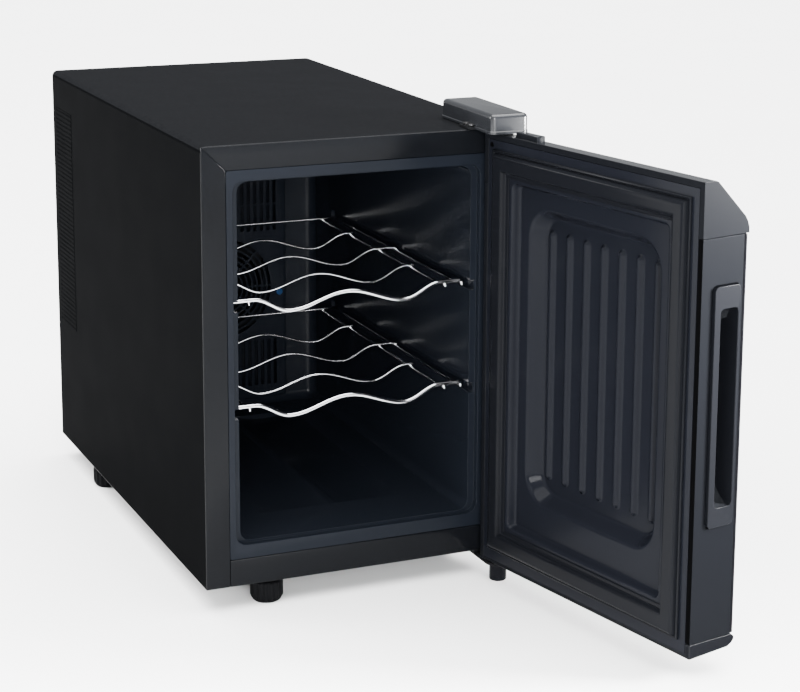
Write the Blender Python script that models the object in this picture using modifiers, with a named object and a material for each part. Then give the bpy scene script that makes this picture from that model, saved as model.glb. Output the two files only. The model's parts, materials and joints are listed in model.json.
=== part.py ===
"""Compact countertop wine cooler, thermoelectric, six bottles, with its door standing open.

Metres, +Z up. X runs across the front, +Y towards the back. All sizes below are in the cabinet's own
frame, whose origin is the middle of the cabinet's underside; the empty "cooler" then carries that frame to
the part's origin, the middle of the floor area that the cooler covers with its door open.
"""
import math

import bmesh
import bpy
from mathutils import Matrix, Vector

# ---------------------------------------------------------------- driving dimensions
WIDTH = 0.252            # cabinet, outside
DEPTH = 0.437
HEIGHT = 0.345           # without feet and hinge cover
FOOT_HEIGHT = 0.020
GAP = 0.0003             # between pieces that touch

SHEET = 0.0010           # outer shell
SHELL_CORNER = 0.005     # bend between side and top
FLANGE_SIDE = 0.0191     # front flange of the shell
FLANGE_TOP = 0.0190
FLANGE_BOTTOM = 0.0214   # front lip of the base plate

LINER_HALF = 0.0962      # inside the cabinet
LINER_FLOOR = 0.0340
LINER_CEILING = 0.3155
LINER_BACK = 0.1345
LINER_WALL = 0.0062
LINER_CORNER = 0.008
MOUTH_HALF = 0.1015      # step at the front of the liner
MOUTH_LOW = 0.0324
MOUTH_HIGH = 0.3173
MOUTH_STEP = 0.006
MOUTH_CORNER = 0.009

RAIL_HEIGHTS = (0.2167, 0.1327)   # rail wires of the two racks
RACK_NAMES = ("upper_rack", "lower_rack")
THIN_WIRE = 0.0010      # radii
FRONT_WIRE = 0.0018
OUTER_RAIL_X = 0.0967
WIRE_END = 0.0974        # long cross wires; the short ones stop just past the inner rails
SHORT_WIRE_END = 0.0845
INNER_RAIL_X = 0.0820
RACK_BACK = 0.0725
RACK_PITCH = 0.0670      # between cross wires
RAIL_REAR = 0.0580
RAIL_FRONT = -0.1970
WAVE_DROP = 0.0110
WAVE_VALLEY = 0.048      # bottles' middles
WAVE_END = 0.078         # the cross wire is level beyond this
CHANNEL_DEPTH = 0.0035
CHANNEL_REAR = 0.088

COVER_HALF = 0.0615      # inner fan cover
COVER_LOW = 0.045
COVER_HIGH = 0.300
COVER_FRONT = 0.112
FAN_Z = 0.152            # height of both fans' axis
GRILLE_R = 0.046
SLOT_PITCH = 0.0062
SLOT_WIDTH = 0.0032

DOOR_GAP = 0.0065        # closed door's inner face to the cabinet's front
DOOR_THICK = 0.0420
DOOR_LOW = -0.0030
DOOR_HIGH = 0.3440
HINGE_INSET = 0.0015     # the hinge edge stands in from the cabinet's side
TOP_CAP = 0.0397
BOTTOM_CAP = 0.0110
TRIM = 0.0025
SKIN = 0.0018            # door's inner liner
SKIN_EDGE = 0.0050       # its border stands in from the door's edges
SKIN_EDGE_LOW = 0.0030
GASKET_BORDER = 0.0120   # door edge to gasket
GASKET_WIDTH = 0.0200
GASKET_HEIGHT = 0.0056
PANEL_INSET = 0.0345     # door edge to the liner's step
PANEL_STEP = 0.0070
PANEL_CORNER = 0.006
POCKET_X = 0.0770        # half width of the deep pocket
POCKET_LOW = 0.0570
POCKET_HIGH = 0.2940
POCKET_DEPTH = 0.0185
POCKET_CORNER = 0.026
RIB_COUNT = 7
RIB_PITCH = 0.0203
RIB_LOW = 0.0760
RIB_HIGH = 0.2760
RIB_R = 0.0046
RIB_PROUD = 0.0030

PIVOT_INSET = 0.0125     # hinge axis from the cabinet's side
PIVOT_OUT = 0.0165       # and in front of the cabinet
PIN_R = 0.0030
REST_ANGLE = math.radians(101.4)   # the door stands this far open

# ---------------------------------------------------------------- derived places
FRONT = -DEPTH / 2
BACK = DEPTH / 2
SIDE = WIDTH / 2
PIVOT = Vector((SIDE - PIVOT_INSET, FRONT - PIVOT_OUT, 0))
DOOR_IN = FRONT - DOOR_GAP          # closed door's inner face
DOOR_OUT = DOOR_IN - DOOR_THICK
CAP_PROUD = 0.0012
LIP = DOOR_OUT - CAP_PROUD          # the top cap's lip stands proud of the front
HINGE_EDGE = SIDE - HINGE_INSET
CAP_BASE = DOOR_HIGH - TOP_CAP
FOAM_BACK = 0.168


def swung(x, y):
    """A point of the closed door, in plan, once the door stands at its rest angle."""
    turned = Matrix.Rotation(REST_ANGLE, 2) @ Vector((x - PIVOT.x, y - PIVOT.y))
    return turned + Vector((PIVOT.x, PIVOT.y))


DOOR_CORNERS = [swung(x, y) for x in (-SIDE, HINGE_EDGE) for y in (DOOR_IN, LIP)]
ORIGIN = Vector((
    -(max(c.x for c in DOOR_CORNERS) - SIDE) / 2,
    -(min(c.y for c in DOOR_CORNERS) + BACK) / 2,
    FOOT_HEIGHT,
))


# ---------------------------------------------------------------- scene and materials
for old in list(bpy.data.objects):
    bpy.data.objects.remove(old, do_unlink=True)

parts = bpy.data.collections.new("wine_cooler")
cutters = bpy.data.collections.new("cutters")
bpy.context.scene.collection.children.link(parts)
bpy.context.scene.collection.children.link(cutters)

LOOKS = {   # colour, roughness, metallic
    "black_paint": ((0.012, 0.012, 0.013), 0.42, 0.0),
    "grey_trim": ((0.045, 0.047, 0.052), 0.38, 0.0),
    "black_gloss": ((0.008, 0.008, 0.009), 0.08, 0.0),
    "liner_plastic": ((0.018, 0.020, 0.026), 0.28, 0.0),
    "gasket_rubber": ((0.020, 0.021, 0.024), 0.55, 0.0),
    "chrome_wire": ((0.75, 0.75, 0.76), 0.12, 1.0),
    "zinc_steel": ((0.45, 0.45, 0.44), 0.35, 1.0),
    "aluminium": ((0.62, 0.62, 0.63), 0.30, 1.0),
    "foam": ((0.75, 0.70, 0.52), 0.90, 0.0),
    "black_plastic": ((0.015, 0.015, 0.016), 0.50, 0.0),
    "ceramic": ((0.80, 0.80, 0.78), 0.60, 0.0),
    "board": ((0.03, 0.16, 0.07), 0.55, 0.0),
    "blue_lens": ((0.05, 0.25, 0.55), 0.20, 0.0),
}


def look(piece, kind):
    colour, roughness, metallic = LOOKS[kind]
    finish = bpy.data.materials.new(piece.name)
    finish.use_nodes = True
    shader = finish.node_tree.nodes["Principled BSDF"]
    shader.inputs["Base Color"].default_value = (*colour, 1)
    shader.inputs["Roughness"].default_value = roughness
    shader.inputs["Metallic"].default_value = metallic
    piece.data.materials.clear()
    piece.data.materials.append(finish)


def empty(name, place, parent=None, turn=0.0):
    holder = bpy.data.objects.new(name, None)
    parts.objects.link(holder)
    holder.parent = parent
    holder.location = place
    holder.rotation_euler.z = turn
    return holder


# ---------------------------------------------------------------- shapes
def add(name, mesh, place=(0, 0, 0)):
    piece = bpy.data.objects.new(name, mesh)
    piece.location = place
    parts.objects.link(piece)
    return piece


def keep(piece, parent, kind, smooth=True):
    """Hang a finished piece on its holder and give it its material."""
    piece.parent = parent
    look(piece, kind)
    if smooth:
        piece.data.shade_smooth()
        piece.data.set_sharp_from_angle(angle=math.radians(35))
    return piece


def box(name, low, high, bevel=0.0, segments=2):
    low, high = Vector(low), Vector(high)
    mesh = bpy.data.meshes.new(name)
    shape = bmesh.new()
    bmesh.ops.create_cube(shape, size=1, matrix=Matrix.Diagonal((high - low).to_4d()))
    shape.to_mesh(mesh)
    shape.free()
    piece = add(name, mesh, (low + high) / 2)
    if bevel:
        rounding = piece.modifiers.new("rounding", "BEVEL")
        rounding.width = bevel
        rounding.segments = segments
    return piece


AXIS_TURN = {
    "X": Matrix.Rotation(math.radians(90), 4, "Y"),
    "Y": Matrix.Rotation(math.radians(-90), 4, "X"),
    "Z": Matrix.Identity(4),
}


def rod(name, centre, radius, length, axis="Z", sides=24, end_radius=None):
    """A cylinder, or a cone when the far end has its own radius."""
    mesh = bpy.data.meshes.new(name)
    shape = bmesh.new()
    bmesh.ops.create_cone(
        shape, cap_ends=True, segments=sides, radius1=radius,
        radius2=radius if end_radius is None else end_radius, depth=length, matrix=AXIS_TURN[axis])
    shape.to_mesh(mesh)
    shape.free()
    return add(name, mesh, centre)


def rounded(x0, x1, y0, y1, radius, steps=4):
    """A rectangle's outline with round corners; radius is one value, or one for each corner.

    The corners run low-left, low-right, high-right, high-left.
    """
    radii = radius if isinstance(radius, tuple) else (radius,) * 4
    corners = ((x0, y0, 1, 1, 180), (x1, y0, -1, 1, 270), (x1, y1, -1, -1, 0), (x0, y1, 1, -1, 90))
    outline = []
    for (x, y, towards_x, towards_y, start), r in zip(corners, radii):
        if not r:
            outline.append((x, y))
            continue
        for i in range(steps + 1):
            a = math.radians(start + 90 * i / steps)
            outline.append((x + towards_x * r + r * math.cos(a), y + towards_y * r + r * math.sin(a)))
    return outline


# how an outline's own x, y and its thickness lie in space, for a prism along each axis
PRISM_TURN = {
    "X": Matrix(((0, 0, 1, 0), (1, 0, 0, 0), (0, 1, 0, 0), (0, 0, 0, 1))),
    "Y": Matrix(((1, 0, 0, 0), (0, 0, -1, 0), (0, 1, 0, 0), (0, 0, 0, 1))),
    "Z": Matrix.Identity(4),
}


def prism(name, outlines, low, high, axis):
    """Flat outlines, the first one outside and the rest holes, extruded from low to high on an axis."""
    flat = bpy.data.curves.new(name, "CURVE")
    flat.dimensions = "2D"
    flat.fill_mode = "BOTH"
    flat.extrude = (high - low) / 2
    for outline in outlines:
        spline = flat.splines.new("POLY")
        spline.points.add(len(outline) - 1)
        for point, (x, y) in zip(spline.points, outline):
            point.co = (x, y, 0, 1)
        spline.use_cyclic_u = True
    guide = bpy.data.objects.new(name + "_outline", flat)
    parts.objects.link(guide)
    bpy.context.view_layer.update()
    mesh = bpy.data.meshes.new_from_object(guide.evaluated_get(bpy.context.evaluated_depsgraph_get()))
    bpy.data.objects.remove(guide, do_unlink=True)
    mesh.transform(PRISM_TURN[axis])
    shape = bmesh.new()
    shape.from_mesh(mesh)
    bmesh.ops.remove_doubles(shape, verts=shape.verts, dist=1e-6)
    bmesh.ops.recalc_face_normals(shape, faces=shape.faces)
    shape.to_mesh(mesh)
    shape.free()
    mesh.name = name
    place = Vector((0, 0, 0))
    place["XYZ".index(axis)] = (low + high) / 2
    return add(name, mesh, place)


def wire(name, points, radius, parent):
    """A chromed wire along a row of points."""
    line = bpy.data.curves.new(name, "CURVE")
    line.dimensions = "3D"
    line.bevel_depth = radius
    line.bevel_resolution = 2
    line.use_fill_caps = True
    spline = line.splines.new("POLY")
    spline.points.add(len(points) - 1)
    for point, place in zip(spline.points, points):
        point.co = (*place, 1)
    piece = bpy.data.objects.new(name, line)
    parts.objects.link(piece)
    piece.parent = parent
    look(piece, "chrome_wire")
    return piece


def shape_with(piece, tool, operation="DIFFERENCE"):
    """Cut a piece with a tool, or join the tool to it."""
    parts.objects.unlink(tool)
    cutters.objects.link(tool)
    tool.hide_render = True
    tool.display_type = "WIRE"
    step = piece.modifiers.new(tool.name, "BOOLEAN")
    step.operation = operation
    step.solver = "EXACT"
    step.object = tool
    return tool


def cut(piece, parent, *tools):
    for tool in tools:
        shape_with(piece, tool).parent = parent


def join(piece, parent, *tools):
    for tool in tools:
        shape_with(piece, tool, "UNION").parent = parent


# ---------------------------------------------------------------- cabinet casing
PAST = 0.02              # how far a cutter reaches past the face that it opens
BASE_SHEET = 0.0014
LIP_SHEET = 0.0022
PANEL_Y = 0.2157         # rear panel's inner face
PANEL_SHEET = 0.0012
PANEL_FOOT = 0.0018      # its lower edge, above the base plate
SLOT_COLUMNS = 9         # cooling slots in the rear panel
SLOT_STEP = 0.018
SLOT_HALF = 0.003
SLOT_TALL = 0.030
SLOT_ROWS = (0.232, 0.274)
GLAND_X = 0.092          # where the cord leaves the rear panel
GLAND_Z = 0.040
GLAND_R = 0.0064
GUARD_Y = 0.2172         # rear fan guard, just outside the panel
GUARD_THICK = 0.0014
GUARD_R = 0.044
GUARD_GAPS = ((0.0405, 0.0330), (0.0305, 0.0230), (0.0205, 0.0120))
GUARD_SPOKE = 0.0016     # half width


def make_outer_shell(cabinet):
    """Painted sheet bent over sides and top, with a flange round the front."""
    corner = (0, 0, SHELL_CORNER, SHELL_CORNER)
    shell = prism("outer_shell", [rounded(-SIDE, SIDE, 0, HEIGHT, corner)], FRONT, BACK, "Y")
    inner = SIDE - SHEET
    tight = (0, 0, SHELL_CORNER - SHEET, SHELL_CORNER - SHEET)
    hollow = prism("shell_hollow", [rounded(-inner, inner, -PAST, HEIGHT - SHEET, tight)],
                   FRONT + SHEET, BACK + PAST, "Y")
    mouth = box("shell_mouth", (-SIDE + FLANGE_SIDE, FRONT - PAST, -PAST),
                (SIDE - FLANGE_SIDE, FRONT + PAST, HEIGHT - FLANGE_TOP))
    cut(shell, cabinet, hollow, mouth)
    return keep(shell, cabinet, "black_paint")


def make_base_plate(cabinet):
    """Bottom pan; its front lip closes the shell's flange."""
    half = SIDE - SHEET - GAP
    lip = SIDE - FLANGE_SIDE - GAP
    base = box("base_plate", (-half, FRONT + SHEET + GAP, 0), (half, BACK - SHEET, BASE_SHEET))
    join(base, cabinet, box("base_lip", (-lip, FRONT, 0), (lip, FRONT + LIP_SHEET, FLANGE_BOTTOM)))
    return keep(base, cabinet, "black_paint")


def make_rear_panel(cabinet):
    """Rear sheet with the fan's hole, the cord's hole and two rows of cooling slots."""
    half = SIDE - SHEET - GAP
    tight = (0, 0, SHELL_CORNER - SHEET, SHELL_CORNER - SHEET)
    outline = rounded(-half, half, PANEL_FOOT, HEIGHT - SHEET - GAP, tight)
    panel = prism("rear_panel", [outline], PANEL_Y, PANEL_Y + PANEL_SHEET, "Y")
    cut(panel, cabinet,
        rod("rear_fan_hole", (0, BACK, FAN_Z), GUARD_GAPS[0][0] + 0.0005, PAST, "Y", 32),
        rod("gland_hole", (GLAND_X, BACK, GLAND_Z), GLAND_R + 0.0004, PAST, "Y"))
    for row, low in enumerate(SLOT_ROWS):
        for column in range(SLOT_COLUMNS):
            x = (column - (SLOT_COLUMNS - 1) / 2) * SLOT_STEP
            slot = box(f"rear_slot_{row}_{column}", (x - SLOT_HALF, PANEL_Y - PAST, low),
                       (x + SLOT_HALF, PANEL_Y + PAST, low + SLOT_TALL))
            cut(panel, cabinet, slot)
    return keep(panel, cabinet, "black_paint")


def ring_gap(name, y, outer, inner, sides, spoke, turns, holder):
    """A ring-shaped cutter across Y that leaves straight spokes standing at the given angles."""
    ring = rod(name, (0, y, FAN_Z), outer, 0.010, "Y", sides)
    cut(ring, holder, rod(name + "_core", (0, y, FAN_Z), inner, PAST, "Y", sides))
    for turn in turns:
        bar = box(f"{name}_spoke_{turn}", (-outer - PAST, -PAST, -spoke), (outer + PAST, PAST, spoke))
        bar.location = (0, y, FAN_Z)
        bar.rotation_euler.y = math.radians(turn)
        cut(ring, holder, bar)
    return ring


def make_rear_fan_guard(cabinet):
    """Finger guard: rings on four spokes, outside the rear fan."""
    guard = rod("rear_fan_guard", (0, GUARD_Y + GUARD_THICK / 2, FAN_Z), GUARD_R, GUARD_THICK, "Y", 40)
    for i, (outer, inner) in enumerate(GUARD_GAPS):
        cut(guard, cabinet,
            ring_gap(f"guard_gap_{i}", GUARD_Y, outer, inner, 32, GUARD_SPOKE, (45, 135), cabinet))
    return keep(guard, cabinet, "black_plastic")


# ---------------------------------------------------------------- inner liner and insulation
LINER_OUT = LINER_HALF + LINER_WALL
LINER_UNDER = LINER_FLOOR - 0.0075
LINER_OVER = LINER_CEILING + 0.0035
LINER_REAR = LINER_BACK + 0.0030
LINER_SHEET = 0.0020     # front flange
CHANNEL_SLACK = 0.00035  # room below a rail in its channel
CHANNEL_RISE = 0.0068    # channel's top above the rail's middle
CHANNEL_CORNER = 0.0025
SPACER_HALF = 0.020      # conduction block behind the cold sink
SPACER_ROOM = 0.001
CRADLE_X = 0.032         # middles of the floor's bottle troughs
CRADLE_R = 0.100
CRADLE_DEPTH = 0.0045
CRADLE_SWEEP = 20        # degrees either side of the lowest line
CRADLE_FRONT = -0.158
CRADLE_REAR = 0.098


def cradle_outline(middle):
    """Shallow round trough pressed into the liner's floor, as a slice of a circle."""
    outline = []
    for i in range(11):
        a = math.radians(-CRADLE_SWEEP + 2 * CRADLE_SWEEP * i / 10)
        height = LINER_FLOOR - CRADLE_DEPTH + CRADLE_R * (1 - math.cos(a))
        outline.append((middle + CRADLE_R * math.sin(a), height))
    return outline


def make_inner_liner(cabinet):
    """Moulded tub with a front flange, rack channels in both walls and two bottle cradles in the floor."""
    edge_x = SIDE - FLANGE_SIDE - GAP
    flange = rounded(-edge_x, edge_x, FLANGE_BOTTOM + GAP, HEIGHT - FLANGE_TOP - GAP, LINER_SHEET)
    liner = prism("inner_liner", [flange], FRONT, FRONT + LINER_SHEET, "Y")
    join(liner, cabinet, box("liner_tub", (-LINER_OUT, FRONT + LINER_SHEET / 2, LINER_UNDER),
                             (LINER_OUT, LINER_REAR, LINER_OVER)))
    cavity = box("liner_cavity", (-LINER_HALF, FRONT - PAST, LINER_FLOOR),
                 (LINER_HALF, LINER_BACK, LINER_CEILING), LINER_CORNER, 3)
    mouth = prism("liner_mouth", [rounded(-MOUTH_HALF, MOUTH_HALF, MOUTH_LOW, MOUTH_HIGH, MOUTH_CORNER)],
                  FRONT - PAST, FRONT + MOUTH_STEP, "Y")
    cut(liner, cabinet, cavity, mouth)
    reach = LINER_HALF + CHANNEL_DEPTH
    for name, rail in zip(RACK_NAMES, RAIL_HEIGHTS):
        low, high = rail - THIN_WIRE - CHANNEL_SLACK, rail + CHANNEL_RISE
        outline = rounded(FRONT - PAST, CHANNEL_REAR, low, high, (0, CHANNEL_CORNER, CHANNEL_CORNER, 0), 3)
        cut(liner, cabinet, prism(name + "_channel", [outline], -reach, reach, "X"))
    for side, tag in ((-1, "left"), (1, "right")):
        cut(liner, cabinet, prism(f"floor_cradle_{tag}", [cradle_outline(side * CRADLE_X)],
                                  CRADLE_FRONT, CRADLE_REAR, "Y"))
    half = SPACER_HALF + SPACER_ROOM
    cut(liner, cabinet, box("liner_window", (-half, LINER_BACK - PAST, FAN_Z - half),
                            (half, LINER_REAR + PAST, FAN_Z + half)))
    return keep(liner, cabinet, "liner_plastic")


def make_cabinet_foam(cabinet):
    """Foam between liner and shell."""
    half = SIDE - SHEET - GAP
    foam = box("cabinet_foam", (-half, FRONT + LIP_SHEET + 0.0004, BASE_SHEET + 0.0004),
               (half, FOAM_BACK, HEIGHT - SHELL_CORNER))
    tub = LINER_OUT + GAP
    window = SPACER_HALF + SPACER_ROOM
    cut(foam, cabinet,
        box("foam_tub", (-tub, FRONT - PAST, LINER_UNDER - GAP), (tub, LINER_REAR + GAP, LINER_OVER + GAP)),
        box("foam_window", (-window, LINER_BACK - PAST, FAN_Z - window),
            (window, FOAM_BACK + PAST, FAN_Z + window)))
    return keep(foam, cabinet, "foam", smooth=False)


# ---------------------------------------------------------------- cooling engine
def comb(half, base, tip, count, thick):
    """Outline of a finned sink in plan: a base along y=base with fins that reach to y=tip."""
    root = base + math.copysign(0.0035, tip - base)
    pitch = (2 * half - thick) / (count - 1)
    outline = [(half, base), (-half, base)]
    for i in range(count):
        left = -half + i * pitch
        outline += [(left, root), (left, tip), (left + thick, tip), (left + thick, root)]
    return outline


FIN = 0.0016
COLD_HALF = 0.034        # cold sink, inside the tub
COLD_TIP = 0.1315
COLD_BASE = LINER_BACK - GAP
MODULE_Y = 0.1648        # thermoelectric module, between the spacer and the hot sink
MODULE_THICK = 0.0038
HOT_BASE = 0.1689
HOT_TIP = 0.1890
HOT_HALF = 0.050
HOT_TALL = 0.060         # half height
FAN_HALF = 0.0400
INNER_FAN = (0.1152, 0.0155)   # front face and thickness
REAR_FAN = (0.1893, 0.0255)
BLADES = 7
BLADE_PITCH = 38         # degrees


def make_sinks(cabinet):
    """Cold sink, conduction spacer, thermoelectric module and hot sink, one behind the other."""
    cold = prism("cold_sink", [comb(COLD_HALF, COLD_BASE, COLD_TIP, 9, FIN)],
                 FAN_Z - COLD_HALF, FAN_Z + COLD_HALF, "Z")
    keep(cold, cabinet, "aluminium", smooth=False)
    low, high = FAN_Z - SPACER_HALF, FAN_Z + SPACER_HALF
    spacer = box("cold_spacer", (-SPACER_HALF, LINER_BACK, low), (SPACER_HALF, MODULE_Y - GAP, high))
    keep(spacer, cabinet, "aluminium", smooth=False)
    module = box("thermoelectric_module", (-SPACER_HALF, MODULE_Y, low),
                 (SPACER_HALF, MODULE_Y + MODULE_THICK, high))
    keep(module, cabinet, "ceramic", smooth=False)
    hot = prism("hot_sink", [comb(HOT_HALF, HOT_BASE, HOT_TIP, 13, FIN)],
                FAN_Z - HOT_TALL, FAN_Z + HOT_TALL, "Z")
    keep(hot, cabinet, "aluminium", smooth=False)


def make_fan(cabinet, where, y0, thick):
    """Square axial fan: a frame with its motor mount, and a rotor that turns on it."""
    bore = FAN_HALF - 0.0025
    hub = FAN_HALF * 0.38
    middle = y0 + thick / 2
    frame = box(f"{where}_fan_frame", (-FAN_HALF, y0, FAN_Z - FAN_HALF),
                (FAN_HALF, y0 + thick, FAN_Z + FAN_HALF), 0.002, 1)
    cut(frame, cabinet, rod(f"{where}_bore", (0, middle, FAN_Z), bore, thick * 2, "Y", 32))
    back = y0 + thick - 0.0015
    join(frame, cabinet, rod(f"{where}_mount", (0, back, FAN_Z), hub, 0.0020, "Y"))
    for i in range(3):
        strut = box(f"{where}_strut_{i}", (0, -0.0007, -0.0018), (bore + 0.001, 0.0007, 0.0018))
        strut.data.transform(Matrix.Translation((bore / 2, 0, 0)))
        strut.location = (0, back, FAN_Z)
        strut.rotation_euler.y = math.radians(120 * i + 30)
        join(frame, cabinet, strut)
    keep(frame, cabinet, "black_plastic")

    axis = empty(f"{where}_fan_axis", (0, middle, FAN_Z), cabinet)
    forward = -0.0012        # the rotor stands clear of its mount
    rotor = rod(f"{where}_fan_rotor", (0, forward, 0), hub - 0.0004, thick - 0.005, "Y")
    for i in range(BLADES):
        blade = box(f"{where}_blade_{i}", (-0.0055, -0.0006, 0), (0.0055, 0.0006, bore - hub))
        reach = Matrix.Translation((0, 0, (bore + hub) / 2 - 0.0014))
        blade.data.transform(reach @ Matrix.Rotation(math.radians(BLADE_PITCH), 4, "Z"))
        blade.location = (0, forward, 0)
        blade.rotation_euler.y = math.tau * i / BLADES
        join(rotor, axis, blade)
    keep(rotor, axis, "black_plastic")


COVER_WALL = 0.002
COVER_ROWS = ((0.229, 0.262), (0.2036, 0.227), (0.058, 0.101))   # slots, low and high ends
GRILLE_RINGS = 9
GRILLE_STEP = 0.0047
GRILLE_GAP = 0.0030
GRILLE_SPOKE = 0.0009    # half width
LED_X = 0.054
LED_Z = 0.145
LED_R = 0.0030


def make_fan_cover(cabinet):
    """Moulded cover over the inner fan: two rows of slots above, a round grille, a row of slots below."""
    cover = box("fan_cover", (-COVER_HALF, COVER_FRONT, COVER_LOW),
                (COVER_HALF, LINER_BACK - GAP, COVER_HIGH), 0.003, 2)
    cut(cover, cabinet,
        box("cover_hollow", (-COVER_HALF + COVER_WALL, COVER_FRONT + COVER_WALL, COVER_LOW + COVER_WALL),
            (COVER_HALF - COVER_WALL, LINER_BACK + PAST, COVER_HIGH - COVER_WALL)))
    for row, (low, high) in enumerate(COVER_ROWS):
        for i in range(-8, 9):
            x = i * SLOT_PITCH
            slot = box(f"cover_slot_{row}_{i}", (x - SLOT_WIDTH / 2, COVER_FRONT - PAST / 2, low),
                       (x + SLOT_WIDTH / 2, COVER_FRONT + PAST / 2, high))
            cut(cover, cabinet, slot)
    for i in range(GRILLE_RINGS):
        outer = GRILLE_R - i * GRILLE_STEP
        cut(cover, cabinet, ring_gap(f"grille_gap_{i}", COVER_FRONT, outer, outer - GRILLE_GAP, 32,
                                     GRILLE_SPOKE, (0, 45, 90, 135), cabinet))
    cut(cover, cabinet, rod("led_hole", (LED_X, COVER_FRONT, LED_Z), LED_R + 0.0004, PAST, "Y", 16))
    keep(cover, cabinet, "liner_plastic")
    led = rod("interior_led", (LED_X, COVER_FRONT + 0.0020, LED_Z), LED_R, 0.0060, "Y", 16)
    keep(led, cabinet, "blue_lens")


BOARD_Y = 0.200
BOARD_THICK = 0.0016
# transformer, capacitor and relay on the board: x, z, half width, depth, half height
BOARD_BLOCKS = ((-0.080, 0.045, 0.014, 0.014, 0.016), (-0.056, 0.062, 0.009, 0.012, 0.009),
                (-0.038, 0.040, 0.006, 0.013, 0.006))


def make_electrics(cabinet):
    """Power board beside the rear fan, and the gland that the cord leaves through."""
    board = box("power_board", (-0.098, BOARD_Y, 0.026), (-0.022, BOARD_Y + BOARD_THICK, 0.086))
    for i, (x, z, half, depth, tall) in enumerate(BOARD_BLOCKS):
        join(board, cabinet, box(f"board_block_{i}", (x - half, BOARD_Y + 0.001 - depth, z - tall),
                                 (x + half, BOARD_Y + 0.001, z + tall)))
    keep(board, cabinet, "board", smooth=False)
    gland = rod("cord_gland", (GLAND_X, PANEL_Y + 0.0001, GLAND_Z), GLAND_R, 0.0054, "Y")
    collar = rod("gland_collar", (GLAND_X, PANEL_Y + 0.0022, GLAND_Z), GLAND_R + 0.0026, 0.0014, "Y")
    join(gland, cabinet, collar)
    cut(gland, cabinet, rod("gland_bore", (GLAND_X, PANEL_Y, GLAND_Z), 0.0035, 0.03, "Y"))
    keep(gland, cabinet, "black_plastic")


# ---------------------------------------------------------------- feet
def fluted(radius, depth, flutes, around):
    """Round outline with shallow flutes."""
    points = []
    for i in range(around):
        a = math.tau * i / around
        r = radius - depth * (0.5 - 0.5 * math.cos(flutes * a))
        points.append((r * math.cos(a), r * math.sin(a)))
    return points


FOOT_R = 0.0130
FLUTE = 0.0012
FOOT_PLACES = (("front_left_foot", -0.072, -0.2030), ("rear_left_foot", -0.1115, 0.1130),
               ("rear_right_foot", 0.1115, 0.1130))
HINGE_FOOT_R = 0.0070
HINGE_FOOT_TOP = -0.0062   # under the lower hinge plate


def make_feet(cabinet):
    """Three fluted feet; the fourth stands under the lower hinge."""
    for name, x, y in FOOT_PLACES:
        foot = prism(name, [fluted(FOOT_R, FLUTE, 16, 32)], -FOOT_HEIGHT + 0.002, -0.0025, "Z")
        foot.location.x = x
        foot.location.y = y
        join(foot, cabinet, rod(name + "_neck", (x, y, -0.0020), 0.0095, 0.0034),
             rod(name + "_sole", (x, y, -FOOT_HEIGHT + 0.0015), 0.0100, 0.0030, end_radius=0.0115))
        keep(foot, cabinet, "black_plastic")
    middle = (HINGE_FOOT_TOP - FOOT_HEIGHT) / 2
    tall = FOOT_HEIGHT + HINGE_FOOT_TOP
    foot = rod("front_right_foot", (PIVOT.x, PIVOT.y, middle), HINGE_FOOT_R, tall, sides=28)
    keep(foot, cabinet, "black_plastic")


# ---------------------------------------------------------------- hinges
PLATE = 0.0020
UPPER_PLATE_Z = HEIGHT + GAP
LOWER_PLATE_Z = DOOR_LOW - 0.0009 - PLATE
UPPER_PLATE_HALF = 0.0095
UPPER_PLATE_REAR = -0.165
LOWER_PLATE_HALF = 0.0110
LOWER_PLATE_REAR = -0.170
EAR = (0.0900, 0.1060, -0.2230, -0.2030)   # side tab of the upper plate: x and y ranges
SCREW_X = 0.0937
SCREW_YS = (-0.2172, -0.2088)
SCREW_HEAD = (0.0029, 0.0018)    # radius and height
SCREW_SHANK = (0.0015, 0.0028)
PIN_HEAD = (0.0048, 0.0014)
COVER_LOW_CORNER = (0.0945, -0.2515, HEIGHT + GAP)
COVER_HIGH_CORNER = (0.1272, -0.1570, HEIGHT + 0.0157)
HINGE_COVER_WALL = 0.0022
NOTCH_ROOM = 0.0006      # round the ear, in the cover's wall
NOTCH_TOP = HEIGHT + 0.0056


def plate_outline(half, rear):
    """A hinge plate in plan: straight sides with a half-round nose over the pivot."""
    nose = [(PIVOT.x + half * math.cos(a), PIVOT.y + half * math.sin(a))
            for a in (math.radians(180 + 180 * i / 10) for i in range(11))]
    return [(PIVOT.x - half, rear)] + nose + [(PIVOT.x + half, rear)]


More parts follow.
